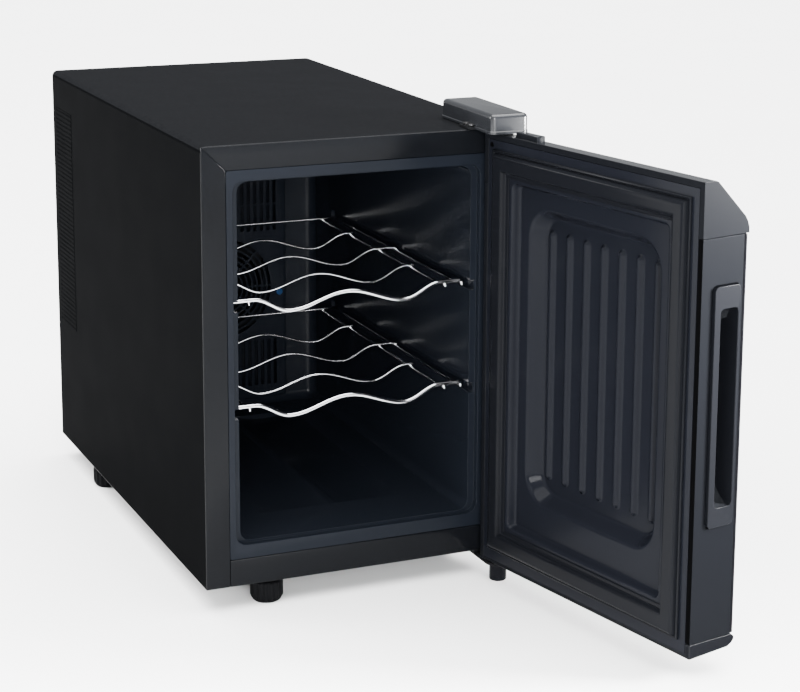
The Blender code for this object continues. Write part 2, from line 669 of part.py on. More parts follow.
def make_upper_hinge(cabinet):
    """Steel plate on the cabinet's top, its two screws and its pin."""
    outline = plate_outline(UPPER_PLATE_HALF, UPPER_PLATE_REAR)
    bracket = prism("upper_hinge_bracket", [outline], UPPER_PLATE_Z, UPPER_PLATE_Z + PLATE, "Z")
    x0, x1, y0, y1 = EAR
    join(bracket, cabinet, box("upper_bracket_ear", (x0, y0, UPPER_PLATE_Z), (x1, y1, UPPER_PLATE_Z + PLATE)))
    cut(bracket, cabinet, rod("upper_pin_hole", (PIVOT.x, PIVOT.y, HEIGHT), PIN_R + GAP, 0.03))
    above = UPPER_PLATE_Z + PLATE + GAP
    for i, y in enumerate(SCREW_YS, 1):
        hole = rod(f"upper_screw_hole_{i}", (SCREW_X, y, HEIGHT), SCREW_SHANK[0] + 0.0004, 0.02)
        cut(bracket, cabinet, hole)
        screw = rod(f"upper_hinge_screw_{i}", (SCREW_X, y, above + SCREW_HEAD[1] / 2), *SCREW_HEAD, sides=20)
        shank = rod(f"screw_shank_{i}", (SCREW_X, y, UPPER_PLATE_Z + 0.0015), *SCREW_SHANK, sides=12)
        join(screw, cabinet, shank)
        keep(screw, cabinet, "zinc_steel")
    keep(bracket, cabinet, "zinc_steel")
    pin = rod("upper_hinge_pin", (PIVOT.x, PIVOT.y, 0.3395), PIN_R, 0.0186)
    join(pin, cabinet, rod("upper_pin_head", (PIVOT.x, PIVOT.y, above + PIN_HEAD[1] / 2), *PIN_HEAD))
    keep(pin, cabinet, "zinc_steel")


def make_hinge_cover(cabinet):
    """Moulded cap, open below, over the upper hinge; a notch in its side lets the plate's ear out."""
    low, high = Vector(COVER_LOW_CORNER), Vector(COVER_HIGH_CORNER)
    wall = Vector((HINGE_COVER_WALL, HINGE_COVER_WALL, 0))
    under = Vector((0, 0, 0.006))
    around = Vector((0.01, 0.01, 0))
    cover = box("hinge_cover", low - under, high, 0.0030, 3)
    cut(cover, cabinet,
        box("cover_foot", low - around - 3 * under, (high + around).xy.to_3d() + Vector((0, 0, low.z))),
        box("cover_inside", low + wall - 2 * under, high - wall - Vector((0, 0, HINGE_COVER_WALL))),
        box("cover_notch", (low.x - 0.01, EAR[2] - NOTCH_ROOM, low.z - 0.01),
            (low.x + HINGE_COVER_WALL + 0.001, EAR[3] + NOTCH_ROOM, NOTCH_TOP)))
    keep(cover, cabinet, "grey_trim")


def make_lower_hinge(cabinet):
    """Plate under the cabinet's front corner, stepped down to pass below the door, and its pin."""
    half = LOWER_PLATE_HALF
    bracket = prism("lower_hinge_bracket", [plate_outline(half, LOWER_PLATE_REAR)],
                    LOWER_PLATE_Z, LOWER_PLATE_Z + PLATE, "Z")
    pad = box("lower_bracket_pad", (PIVOT.x - half, FRONT + 0.006, LOWER_PLATE_Z + PLATE / 2),
              (PIVOT.x + half, LOWER_PLATE_REAR, -GAP))
    join(bracket, cabinet, pad)
    cut(bracket, cabinet, rod("lower_pin_hole", (PIVOT.x, PIVOT.y, LOWER_PLATE_Z), PIN_R + GAP, 0.03))
    keep(bracket, cabinet, "black_paint")
    keep(rod("lower_hinge_pin", (PIVOT.x, PIVOT.y, 0.0035), PIN_R, 0.0190), cabinet, "zinc_steel")


# ---------------------------------------------------------------- door, modelled closed about its pivot
def at(x, y, z=0.0):
    """A point of the closed door, in the frame of the door's pivot."""
    return Vector((x - PIVOT.x, y - PIVOT.y, z))


def door_box(name, low, high, bevel=0.0, segments=2):
    return box(name, at(*low), at(*high), bevel, segments)


def door_profile(depths):
    """Outline in depth and height for a prism along the door's width; depth counts from the inner face."""
    return [(DOOR_IN - PIVOT.y - depth, z) for depth, z in depths]


def door_rect(inset_x, low, high, radius, steps=4):
    return rounded(-SIDE + inset_x - PIVOT.x, HINGE_EDGE - inset_x - PIVOT.x, low, high, radius, steps)


BUSH_R = 0.0056
BUSH_ROOM = GAP
LEFT_X = -SIDE - PIVOT.x
RIGHT_X = HINGE_EDGE - PIVOT.x
FACE = DOOR_IN - PIVOT.y           # closed door's inner face, in the pivot's frame
CAP_WALL = 0.0025
HINGE_BLOCK = 0.024                # the top cap is solid over this width, round its bush

# the top cap's section: depth from the inner face, and height
CAP_FLAT = 0.0110
SLOPE_TOP = (0.0128, DOOR_HIGH - 0.0008)
SLOPE_END = (0.0392, 0.3166)
CAP_NOSE = ((0.0415, 0.3128), (0.0430, 0.3085), (0.0432, CAP_BASE))
CAP_HOLLOW = ((0.0115, CAP_BASE - PAST), (0.0115, DOOR_HIGH - 0.0035), (0.0375, 0.3148),
              (0.0402, 0.3080), (0.0405, CAP_BASE - PAST))
BOTTOM_SECTION = ((0, DOOR_LOW), (0, DOOR_LOW + BOTTOM_CAP), (0.0405, DOOR_LOW + BOTTOM_CAP),
                  (0.0432, 0.0056), (0.0432, 0.0036), (0.0410, 0.0008), (0.0370, -0.0012))
SLOPE_TILT = math.atan2(SLOPE_TOP[1] - SLOPE_END[1], SLOPE_END[0] - SLOPE_TOP[0])
KEEPER = (0.0615, 0.0880, 0.0015, 0.0095, 0.0045)   # block on the door's top: x range, depths, height

BUTTONS = (("up_button", -0.012), ("down_button", 0.012))
BUTTON_SIZE = (0.013, 0.008)
BUTTON_ROOM = 0.0004
BUTTON_ALONG = 0.018               # down the slope
BUTTON_SUNK = 0.0040
BUTTON_PROUD = 0.0012


def slope_place(x, along, proud):
    """A point on the sloped control face: along runs down the slope, proud stands off it."""
    depth = SLOPE_TOP[0] + along * math.cos(SLOPE_TILT) + proud * math.sin(SLOPE_TILT)
    height = SLOPE_TOP[1] - along * math.sin(SLOPE_TILT) + proud * math.cos(SLOPE_TILT)
    return at(x, DOOR_IN - depth, height)


def button_hole(name, x):
    """A cutter square to the sloped face."""
    width, height = (size / 2 + BUTTON_ROOM for size in BUTTON_SIZE)
    hole = box(name + "_hole", (-width, -height, -PAST), (width, height, PAST / 2))
    hole.data.transform(Matrix.Translation((0, 0, -PAST / 4)))
    hole.location = slope_place(x, BUTTON_ALONG, 0)
    hole.rotation_euler.x = SLOPE_TILT
    return hole


def skin_bed(tag):
    """The rebate that the inner liner's border lies in."""
    low = (-SIDE + SKIN_EDGE - GAP, DOOR_IN - SKIN - GAP, DOOR_LOW + SKIN_EDGE_LOW - GAP)
    high = (HINGE_EDGE - SKIN_EDGE + GAP, DOOR_IN + PAST, DOOR_HIGH - SKIN_EDGE + GAP)
    return door_box("skin_bed_" + tag, low, high)


def make_door_caps(door):
    """Mouldings along the door's top, with the sloped control face, and along its bottom."""
    section = [(0, CAP_BASE), (0, DOOR_HIGH), (CAP_FLAT, DOOR_HIGH), SLOPE_TOP, SLOPE_END, *CAP_NOSE]
    top = prism("door_top_cap", [door_profile(section)], LEFT_X, RIGHT_X, "X")
    x0, x1, near, far, tall = KEEPER
    join(top, door, door_box("door_keeper", (x0, DOOR_IN - far, DOOR_HIGH - 0.001),
                             (x1, DOOR_IN - near, DOOR_HIGH + tall), 0.0007, 2))
    hollow = prism("top_cap_hollow", [door_profile(CAP_HOLLOW)],
                   LEFT_X + CAP_WALL, RIGHT_X - HINGE_BLOCK, "X")
    cut(top, door, hollow, rod("top_bush_hole", (0, 0, DOOR_HIGH), BUSH_R + BUSH_ROOM, 0.040),
        skin_bed("top"), panel_tool("cap", SKIN + GAP))
    for name, x in BUTTONS:
        cut(top, door, button_hole(name, x))
    keep(top, door, "grey_trim")

    bottom = prism("door_bottom_cap", [door_profile(BOTTOM_SECTION)], LEFT_X, RIGHT_X, "X")
    bush_hole = rod("bottom_bush_hole", (0, 0, DOOR_LOW), BUSH_R + BUSH_ROOM, 0.040)
    cut(bottom, door, bush_hole, skin_bed("bottom"))
    keep(bottom, door, "grey_trim")


EDGE_LOW = DOOR_LOW + BOTTOM_CAP + GAP
EDGE_HIGH = CAP_BASE - GAP
PANEL_THICK = 0.0030
LAP_OVER = 0.001                             # the laps start inside the trims
HANDLE = (0.0104, 0.0356, 0.0930, 0.2700)    # depth and height of the grip insert on the free edge
GRIP = (0.0168, 0.0330, 0.1080, 0.2530)      # the finger slot in it
HANDLE_PROUD = 0.0024
HANDLE_CORNER = 0.0040
HANDLE_ROOM = 0.0006
GRIP_CORNER = 0.0030
GRIP_REACH = 0.0220
GRIP_WALL = 0.0014


def section(rect, grow, radius):
    """A round-cornered rectangle in depth and height, for a prism through the free edge."""
    d0, d1, z0, z1 = rect
    return door_profile(rounded(d0 - grow, d1 + grow, z0 - grow, z1 + grow, radius, 3))


def make_door_edges(door):
    """Front panel, and the trims that close the free edge and the hinge edge."""
    inner, outer = DOOR_IN, DOOR_OUT + PANEL_THICK + GAP
    panel = door_box("door_front_panel", (-SIDE, DOOR_OUT, EDGE_LOW),
                     (HINGE_EDGE, DOOR_OUT + PANEL_THICK, EDGE_HIGH), 0.0008, 1)
    keep(panel, door, "black_gloss")
    lap = SKIN_EDGE - GAP
    free = door_box("free_edge_trim", (-SIDE, outer, EDGE_LOW), (-SIDE + TRIM, inner, EDGE_HIGH))
    join(free, door, door_box("free_trim_lap", (-SIDE + LAP_OVER, inner - SKIN, EDGE_LOW),
                              (-SIDE + lap, inner, EDGE_HIGH)))
    window = prism("handle_window", [section(HANDLE, 0, HANDLE_CORNER)], LEFT_X - PAST, LEFT_X + PAST, "X")
    cut(free, door, window)
    keep(free, door, "grey_trim")
    hinge = door_box("hinge_edge_trim", (HINGE_EDGE - TRIM, outer, EDGE_LOW), (HINGE_EDGE, inner, EDGE_HIGH))
    join(hinge, door, door_box("hinge_trim_lap", (HINGE_EDGE - lap, inner - SKIN, EDGE_LOW),
                               (HINGE_EDGE - LAP_OVER, inner, EDGE_HIGH)))
    keep(hinge, door, "grey_trim")


def make_handle(door):
    """Recessed grip in the free edge: a thin-walled cup that fingers reach into."""
    insert = prism("door_handle", [section(HANDLE, -HANDLE_ROOM, HANDLE_CORNER - HANDLE_ROOM)],
                   LEFT_X - HANDLE_PROUD, LEFT_X + TRIM, "X")
    cup = prism("handle_cup", [section(GRIP, GRIP_WALL, GRIP_CORNER + 0.0010)],
                LEFT_X + LAP_OVER, LEFT_X + GRIP_REACH, "X")
    join(insert, door, cup)
    slot = prism("handle_slot", [section(GRIP, 0, GRIP_CORNER)],
                 LEFT_X - PAST, LEFT_X + GRIP_REACH - GRIP_WALL, "X")
    cut(insert, door, slot)
    keep(insert, door, "black_plastic")


def step_tool(name, outline, depth):
    """A tool that reaches this deep into the door's inner face."""
    return prism(name, [[(x - PIVOT.x, z) for x, z in outline]], FACE - depth, FACE + PAST, "Y")


def panel_tool(tag, grow):
    """The liner's shallow panel, grown all round and moved back by the same amount."""
    outline = rounded(-SIDE + PANEL_INSET - grow, HINGE_EDGE - PANEL_INSET + grow,
                      DOOR_LOW + PANEL_INSET - grow, DOOR_HIGH - PANEL_INSET + grow, PANEL_CORNER + grow)
    return step_tool("panel_" + tag, outline, PANEL_STEP + grow)


def pocket_tool(tag, grow):
    """The liner's deep pocket, in the same way."""
    outline = rounded(-POCKET_X - grow, POCKET_X + grow, POCKET_LOW - grow, POCKET_HIGH + grow,
                      POCKET_CORNER + grow, 5)
    return step_tool("pocket_" + tag, outline, POCKET_DEPTH + grow)


def make_door_liner(door):
    """Vacuum-formed inner skin: border, shallow panel, deep pocket with seven upright ribs."""
    border = door_rect(SKIN_EDGE, DOOR_LOW + SKIN_EDGE_LOW, DOOR_HIGH - SKIN_EDGE, 0)
    liner = prism("door_inner_liner", [border], FACE - SKIN, FACE, "Y")
    for tool in (panel_tool("back", SKIN), pocket_tool("back", SKIN)):
        # only the part behind the face is joined
        above = door_box("above_" + tool.name, (-WIDTH, DOOR_IN - SKIN / 3, -HEIGHT), (WIDTH, 0, 2 * HEIGHT))
        cut(tool, door, above)
        join(liner, door, tool)
    deep = pocket_tool("front", 0)
    floor = FACE - POCKET_DEPTH
    for i in range(RIB_COUNT):
        x = (i - (RIB_COUNT - 1) / 2) * RIB_PITCH - PIVOT.x
        outline = rounded(x - RIB_R, x + RIB_R, RIB_LOW, RIB_HIGH, RIB_R - 0.00001, 5)
        cut(deep, door, prism(f"rib_{i}", [outline], floor - 0.001, floor + RIB_PROUD, "Y"))
    cut(liner, door, panel_tool("front", 0), deep)
    keep(liner, door, "liner_plastic")


def make_door_foam(door):
    """Foam core that fills the door between its skins."""
    foam = door_box("door_foam", (-SIDE + TRIM + GAP, DOOR_OUT + PANEL_THICK + 2 * GAP, EDGE_LOW + GAP),
                    (HINGE_EDGE - TRIM - GAP, DOOR_IN - SKIN - GAP, EDGE_HIGH - GAP))
    near, far, low, high = GRIP
    cup = GRIP_WALL + GAP
    grip = door_box("foam_grip", (-SIDE - PAST, DOOR_IN - far - cup, low - cup),
                    (-SIDE + GRIP_REACH + GAP, DOOR_IN - near + cup, high + cup))
    bush = rod("foam_bush_hole", (0, 0, EDGE_LOW), BUSH_R + 0.001, 0.030)
    cut(foam, door, panel_tool("foam", SKIN + GAP), pocket_tool("foam", SKIN + GAP), grip, bush)
    keep(foam, door, "foam", smooth=False)


def make_gasket(door):
    """Magnetic seal: a rounded frame proud of the door's inner face."""
    outer = door_rect(GASKET_BORDER, DOOR_LOW + GASKET_BORDER, DOOR_HIGH - GASKET_BORDER, 0.0006, 1)
    inset = GASKET_BORDER + GASKET_WIDTH
    inner = door_rect(inset, DOOR_LOW + inset, DOOR_HIGH - inset, 0.0006, 1)
    gasket = prism("door_gasket", [outer, inner], FACE + GAP, FACE + GASKET_HEIGHT, "Y")
    rounding = gasket.modifiers.new("rounding", "BEVEL")
    rounding.width = 0.0022
    rounding.segments = 2
    rounding.limit_method = "ANGLE"
    rounding.angle_limit = math.radians(60)
    keep(gasket, door, "gasket_rubber")


BUSH_FLANGE = (0.0075, 0.0006)     # radius and thickness
BUSH_RUNNING = 0.00025             # clearance round the pin


def make_bushes(door):
    """Flanged bushes that the hinge pins turn in."""
    for name, middle, length, flange in (("upper_hinge_bush", DOOR_HIGH - 0.0070, 0.0146, DOOR_HIGH + 0.0004),
                                         ("lower_hinge_bush", DOOR_LOW + 0.0065, 0.0136, DOOR_LOW - 0.0004)):
        bush = rod(name, (0, 0, middle), BUSH_R, length)
        join(bush, door, rod(name + "_flange", (0, 0, flange), *BUSH_FLANGE))
        cut(bush, door, rod(name + "_bore", (0, 0, middle), PIN_R + BUSH_RUNNING, 0.06))
        keep(bush, door, "black_plastic")


def make_buttons(door):
    """Two push buttons that travel square into the sloped control face."""
    for name, x in BUTTONS:
        slide = empty(name + "_slide", slope_place(x, BUTTON_ALONG, 0), door)
        slide.rotation_euler.x = SLOPE_TILT
        button = box(name, (-BUTTON_SIZE[0] / 2, -BUTTON_SIZE[1] / 2, -BUTTON_SUNK),
                     (BUTTON_SIZE[0] / 2, BUTTON_SIZE[1] / 2, BUTTON_PROUD), 0.0006, 2)
        keep(button, slide, "black_plastic")


# ---------------------------------------------------------------- racks
def wave_height(x):
    """Drop of a cross wire below its level ends: a valley for each bottle, a crest between them."""
    reach = abs(x)
    if reach >= WAVE_END:
        return 0.0
    if reach <= WAVE_VALLEY:
        return WAVE_DROP * (1 - math.cos(math.pi * reach / WAVE_VALLEY)) / 2
    return WAVE_DROP * (1 + math.cos(math.pi * (reach - WAVE_VALLEY) / (WAVE_END - WAVE_VALLEY))) / 2


def cross_wire(name, half, y, z, radius, rack):
    steps = 9
    bends = [WAVE_END * i / steps for i in range(-steps, steps + 1)]
    across = [-half] + bends + [half]
    wire(name, [(x, y, z - wave_height(x)) for x in across], radius, rack)


def make_rack(cabinet, name, rail):
    """Four rails with five cross wires resting on them; four of those wave under the bottles."""
    rack = empty(name, (0, 0, rail), cabinet)
    level = 2 * THIN_WIRE + GAP
    for side, tag in ((-1, "left"), (1, "right")):
        x = side * OUTER_RAIL_X
        wire(f"{name}_outer_rail_{tag}", [(x, RAIL_REAR, 0), (x, RAIL_FRONT, 0)], THIN_WIRE, rack)
        x = side * INNER_RAIL_X
        run = [(x, RACK_BACK + 0.001, 0), (x, RAIL_FRONT - 0.001, 0)]
        wire(f"{name}_inner_rail_{tag}", run, THIN_WIRE, rack)
    ends = [(-WIRE_END, RACK_BACK, level), (WIRE_END, RACK_BACK, level)]
    wire(f"{name}_back_wire", ends, THIN_WIRE, rack)
    for i, half in ((1, SHORT_WIRE_END), (2, WIRE_END), (3, SHORT_WIRE_END)):
        cross_wire(f"{name}_wave_wire_{i}", half, RACK_BACK - i * RACK_PITCH, level, THIN_WIRE, rack)
    front_y = RACK_BACK - 4 * RACK_PITCH
    cross_wire(f"{name}_front_wire", WIRE_END, front_y, THIN_WIRE + FRONT_WIRE + GAP, FRONT_WIRE, rack)


# ---------------------------------------------------------------- assembly
def build():
    cabinet = empty("cooler", ORIGIN)
    make_outer_shell(cabinet)
    make_base_plate(cabinet)
    make_rear_panel(cabinet)
    make_rear_fan_guard(cabinet)
    make_inner_liner(cabinet)
    make_cabinet_foam(cabinet)
    make_sinks(cabinet)
    make_fan(cabinet, "inner", *INNER_FAN)
    make_fan(cabinet, "rear", *REAR_FAN)
    make_fan_cover(cabinet)
    make_electrics(cabinet)
    make_feet(cabinet)
    make_upper_hinge(cabinet)
    make_hinge_cover(cabinet)
    make_lower_hinge(cabinet)

    door = empty("door", PIVOT, cabinet, REST_ANGLE)
    make_door_caps(door)
    make_door_edges(door)
    make_handle(door)
    make_door_liner(door)
    make_door_foam(door)
    make_gasket(door)
    make_bushes(door)
    make_buttons(door)

    for name, rail in zip(RACK_NAMES, RAIL_HEIGHTS):
        make_rack(cabinet, name, rail)


build()
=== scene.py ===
"""Looks of the countertop wine cooler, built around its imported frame. Metres, +Z up."""
import json
import math

import bmesh
import bpy
from mathutils import Matrix, Vector


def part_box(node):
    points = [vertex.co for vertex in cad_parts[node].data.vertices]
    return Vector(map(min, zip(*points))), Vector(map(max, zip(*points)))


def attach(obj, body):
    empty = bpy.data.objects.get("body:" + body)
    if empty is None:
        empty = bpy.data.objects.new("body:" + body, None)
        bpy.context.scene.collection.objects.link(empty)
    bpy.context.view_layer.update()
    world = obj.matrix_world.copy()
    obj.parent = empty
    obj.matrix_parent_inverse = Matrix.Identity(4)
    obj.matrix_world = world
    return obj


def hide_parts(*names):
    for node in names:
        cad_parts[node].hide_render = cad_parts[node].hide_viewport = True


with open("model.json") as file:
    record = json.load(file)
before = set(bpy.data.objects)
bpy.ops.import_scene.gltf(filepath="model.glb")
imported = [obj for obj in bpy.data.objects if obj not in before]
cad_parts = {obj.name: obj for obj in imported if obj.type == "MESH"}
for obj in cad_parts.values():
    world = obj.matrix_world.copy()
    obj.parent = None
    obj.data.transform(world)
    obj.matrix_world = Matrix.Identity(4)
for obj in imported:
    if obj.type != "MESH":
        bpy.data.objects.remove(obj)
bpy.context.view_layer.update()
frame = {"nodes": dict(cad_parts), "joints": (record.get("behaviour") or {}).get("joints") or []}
nodes = frame["nodes"]

# ---------------------------------------------------------------- places
UP = Vector((0, 0, 1))
shell_low, shell_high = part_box("outer_shell")
# the cabinet's own frame: middle of its underside, X to the right, Y to the back
CABINET = Matrix.Translation(((shell_low.x + shell_high.x) / 2, (shell_low.y + shell_high.y) / 2,
                              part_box("base_plate")[0].z))
HALF = (shell_high.x - shell_low.x) / 2
FRONT = -(shell_high.y - shell_low.y) / 2
TOP = shell_high.z - CABINET.translation.z

hinge = next(joint for joint in frame["joints"] if joint["name"] == "door_hinge")
# the door's own frame: the hinge axis, with the door as it lies when closed
DOOR = (Matrix.Translation((hinge["pos_m"][0], hinge["pos_m"][1], CABINET.translation.z))
        @ Matrix.Rotation(math.radians(-hinge["range_deg"][0]), 4, "Z"))


def span(node, place):
    """Lowest and highest corner of a CAD node, in the cabinet's or the door's own frame."""
    back = place.inverted()
    points = [back @ v.co for v in nodes[node].data.vertices]
    return (Vector([min(p[i] for p in points) for i in range(3)]),
            Vector([max(p[i] for p in points) for i in range(3)]))


# ---------------------------------------------------------------- materials
NOISE_MIDDLE = (0.35, 0.65)         # where most of a noise's values lie
NO_STRETCH = (1, 1, 1)
# bumps: the noise's scale per metre, and the depth in metres
SHEET_WAVE, ORANGE_PEEL = (5, 0.00020), (900, 0.00003)
MOULD_WAVE, STIPPLE_SCALE = (30, 0.00003), 2200
FINE_STIPPLE, COARSE_STIPPLE = 0.00001, 0.00004
LINER_WAVE, LINER_GRAIN = (14, 0.00012), (1100, 0.00001)
METAL_GRAIN_SCALE, METAL_GRAIN_DEPTH = 700, 0.00001


class Finish:
    """A material under construction: one shader, and short calls that wire nodes to it."""

    def __init__(self, name, colour, roughness, metallic=0.0, **constants):
        self.material = bpy.data.materials.new(name)
        self.material.use_nodes = True
        self.tree = self.material.node_tree
        self.shader = self.tree.nodes["Principled BSDF"]
        self.set(self.shader, Base_Color=(*colour, 1), Roughness=roughness, Metallic=metallic,
                 **constants)
        self.colour = colour
        self.roughness = roughness
        self.place = self.tree.nodes.new("ShaderNodeTexCoord").outputs["Object"]

    def set(self, node, **values):
        """Set inputs by name, with an underscore for each space."""
        for key, value in values.items():
            node.inputs[key.replace("_", " ")].default_value = value

    def link(self, output, node, name):
        self.tree.links.new(output, node.inputs[name])

    def noise(self, scale, detail=3.0, stretch=NO_STRETCH):
        """Noise in the object's own metres."""
        source = self.place
        if stretch != NO_STRETCH:
            squeeze = self.tree.nodes.new("ShaderNodeMapping")
            squeeze.inputs["Scale"].default_value = stretch
            self.link(source, squeeze, "Vector")
            source = squeeze.outputs["Vector"]
        node = self.tree.nodes.new("ShaderNodeTexNoise")
        self.set(node, Scale=scale, Detail=detail)
        self.link(source, node, "Vector")
        return node.outputs["Fac"]

    def ranged(self, output, low, high):
        """Spread a noise's middle values from low to high."""
        node = self.tree.nodes.new("ShaderNodeMapRange")
        start, end = NOISE_MIDDLE
        self.set(node, From_Min=start, From_Max=end, To_Min=low, To_Max=high)
        self.link(output, node, "Value")
        return node.outputs["Result"]

    def mottle(self, scale, change):
        """Let the colour drift a little, lighter and darker, over patches of this scale."""
        node = self.tree.nodes.new("ShaderNodeMix")
        node.data_type = "RGBA"
        colours = [tuple(min(1.0, c * (1 + sign * change)) for c in self.colour) + (1,)
                   for sign in (-1, 1)]
        node.inputs["A"].default_value, node.inputs["B"].default_value = colours
        self.link(self.ranged(self.noise(scale), 0, 1), node, "Factor")
        self.link(node.outputs["Result"], self.shader, "Base Color")
        return self

    def patchy(self, scale, spread, stretch=NO_STRETCH):
        """Let the roughness drift, as handled and moulded surfaces do."""
        drift = self.ranged(self.noise(scale, 4.0, stretch), self.roughness - spread,
                            self.roughness + spread)
        self.link(drift, self.shader, "Roughness")
        return self

    def grain(self, *layers):
        """Bump from one or more noises, each given as scale, depth in metres, and stretch."""
        normal = None
        for scale, depth, *stretch in layers:
            bump = self.tree.nodes.new("ShaderNodeBump")
            self.set(bump, Strength=1.0, Distance=depth)
            self.link(self.noise(scale, 2.0, *stretch), bump, "Height")
            if normal:
                self.link(normal, bump, "Normal")
            normal = bump.outputs["Normal"]
        self.link(normal, self.shader, "Normal")
        return self


def paint(name, colour, roughness, ior):
    """Powder coat on sheet steel: fine orange peel over the faint long wave of the sheet itself."""
    finish = Finish(name, colour, roughness, IOR=ior)
    return finish.mottle(260, 0.10).patchy(30, 0.02).grain(SHEET_WAVE, ORANGE_PEEL).material


def moulded(name, colour, roughness, ior, stipple=FINE_STIPPLE):
    """Moulded plastic with a stipple over a faint wave."""
    finish = Finish(name, colour, roughness, IOR=ior).mottle(1100, 0.05).patchy(1100, 0.01)
    return finish.grain(MOULD_WAVE, (STIPPLE_SCALE, stipple)).material


def formed(name, colour, roughness, ior):
    """Vacuum-formed or moulded liner: smoother, with a slow ripple in its gloss."""
    finish = Finish(name, colour, roughness, IOR=ior)
    return finish.mottle(900, 0.06).patchy(500, 0.02).grain(LINER_WAVE, LINER_GRAIN).material


def metal(name, colour, roughness, stretch=NO_STRETCH, depth=METAL_GRAIN_DEPTH):
    """Bare or plated metal, with a grain that can run along one direction."""
    finish = Finish(name, colour, roughness, 1.0).mottle(60, 0.06).patchy(80, 0.04, stretch)
    return finish.grain((METAL_GRAIN_SCALE, depth, stretch)).material


# every finish by the name that the pieces below use: material's name, colour, roughness, then IOR
MATERIALS = {
    "paint": paint("satin_black_paint", (0.0050, 0.0052, 0.0058), 0.40, 1.012),
    # the top's satin black made darker for the sides: painted shade, as the sides catch less light
    "side_paint": paint("satin_black_side_painted_shade", (0.0014, 0.0015, 0.0017), 0.40, 1.010),
    # the shell's paint again for the front flanges: glossier, which is real, with its colour set
    # apart from the top's, darker and bluer, to match how the front is lit, which is painted shade
    "flange": paint("satin_black_flange", (0.0025, 0.0028, 0.0035), 0.13, 1.13),
    "paint_edge": paint("satin_black_edge", (0.0046, 0.0049, 0.0056), 0.24, 1.15),
    # lighter than the trim: a painted highlight along the trim's rounded edges
    "trim_edge": moulded("dark_grey_trim_edge", (0.0040, 0.0044, 0.0054), 0.26, 1.14),
    "trim": moulded("dark_grey_trim", (0.0033, 0.0036, 0.0045), 0.30, 1.05),
    # the hinge cover's own grey; the cap's top, the base lip's edge and the grip scoops borrow it as
    # a painted highlight
    "cover": moulded("hinge_cover_grey", (0.0080, 0.0086, 0.0100), 0.22, 1.36),
    "liner": formed("charcoal_liner", (0.0042, 0.0052, 0.0074), 0.20, 1.12),
    "door_skin": formed("charcoal_door_skin", (0.0044, 0.0049, 0.0068), 0.16, 1.10),
    "black": moulded("black_plastic", (0.0038, 0.0040, 0.0045), 0.44, 1.12, COARSE_STIPPLE),
    "foot_black": moulded("foot_black", (0.0034, 0.0035, 0.0039), 0.40, 1.06),
    # the fans' own black, and painted shade on the cold sink behind the guard
    "fan_black_and_painted_shade": moulded("fan_black_and_painted_shade", (0.0022, 0.0023, 0.0026), 0.5, 1.04, COARSE_STIPPLE),
    # near black: painted shade in the vents' slots and on the trim's face towards the cabinet, and
    # the border screw's own black
    "painted_shade_and_screw_black": moulded("painted_shade_and_screw_black", (0.0010, 0.0010, 0.0011), 0.7, 1.02, COARSE_STIPPLE),
    "grip": moulded("grip_plastic", (0.0036, 0.0039, 0.0050), 0.26, 1.10),
    "vinyl": moulded("seal_vinyl", (0.0033, 0.0036, 0.0046), 0.20, 1.10),
    "gloss": Finish("gloss_black_front", (0.003, 0.003, 0.004), 0.06, IOR=1.09)
    .mottle(900, 0.05).patchy(12, 0.01).grain((10, 0.00006)).material,
    "chrome": metal("chrome_plate", (0.64, 0.64, 0.66), 0.12),
    "zinc": metal("zinc_plate", (0.035, 0.035, 0.036), 0.38, depth=0.00003),
    "aluminium": metal("extruded_aluminium", (0.50, 0.50, 0.51), 0.34, (1, 1, 0.05), 0.00004),
    "foam": Finish("rigid_foam", (0.020, 0.020, 0.022), 0.9, IOR=1.05)
    .mottle(180, 0.2).grain((420, 0.0004)).material,
    "ceramic": Finish("white_ceramic", (0.74, 0.74, 0.71), 0.5)
    .mottle(120, 0.06).grain((900, 0.00002)).material,
    "board": Finish("circuit_board", (0.02, 0.11, 0.05), 0.45)
    .mottle(160, 0.5).grain((300, 0.0002)).material,
    "lens": Finish("blue_lens", (0.004, 0.02, 0.06), 0.15, Emission_Color=(0.02, 0.16, 0.5, 1),
                   Emission_Strength=0.02).mottle(300, 0.2).patchy(300, 0.04).material,
}


# ---------------------------------------------------------------- building helpers
EDGE_FINISH = {"paint": "paint_edge", "trim": "trim_edge"}      # what the rounded edges wear: glossier copies that catch highlight lines; the trim's edge copy is also a little lighter than the trim, a painted highlight
MERGE_WITHIN = 0.000005
FLAT_WITHIN = math.radians(1.0)         # faces this near to one plane become one face
ROUNDED_FROM = math.radians(32)         # edges sharper than this are rounded over


def own(piece, finish, body, *replaced, slot=None):
    """Give a finished piece its material, its body, and the CAD nodes that it stands for."""
    piece.data.materials.clear()
    piece.data.materials.append(MATERIALS[finish])
    if finish in EDGE_FINISH:
        piece.data.materials.append(MATERIALS[EDGE_FINISH[finish]])
    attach(piece, body)
    if replaced:
        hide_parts(*replaced)
    return piece


def from_bmesh(name, shape, place=None, angle=35, facing=None):
    """Object from a finished bmesh; an open sheet says which way it faces."""
    bmesh.ops.recalc_face_normals(shape, faces=shape.faces)
    if facing and sum(face.normal.dot(facing) * face.calc_area() for face in shape.faces) < 0:
        bmesh.ops.reverse_faces(shape, faces=shape.faces)
    mesh = bpy.data.meshes.new(name)
    shape.to_mesh(mesh)
    shape.free()
    if place is not None:
        mesh.transform(place)
    mesh.shade_smooth()
    mesh.set_sharp_from_angle(angle=math.radians(angle))
    piece = bpy.data.objects.new(name, mesh)
    bpy.context.scene.collection.objects.link(piece)
    return piece


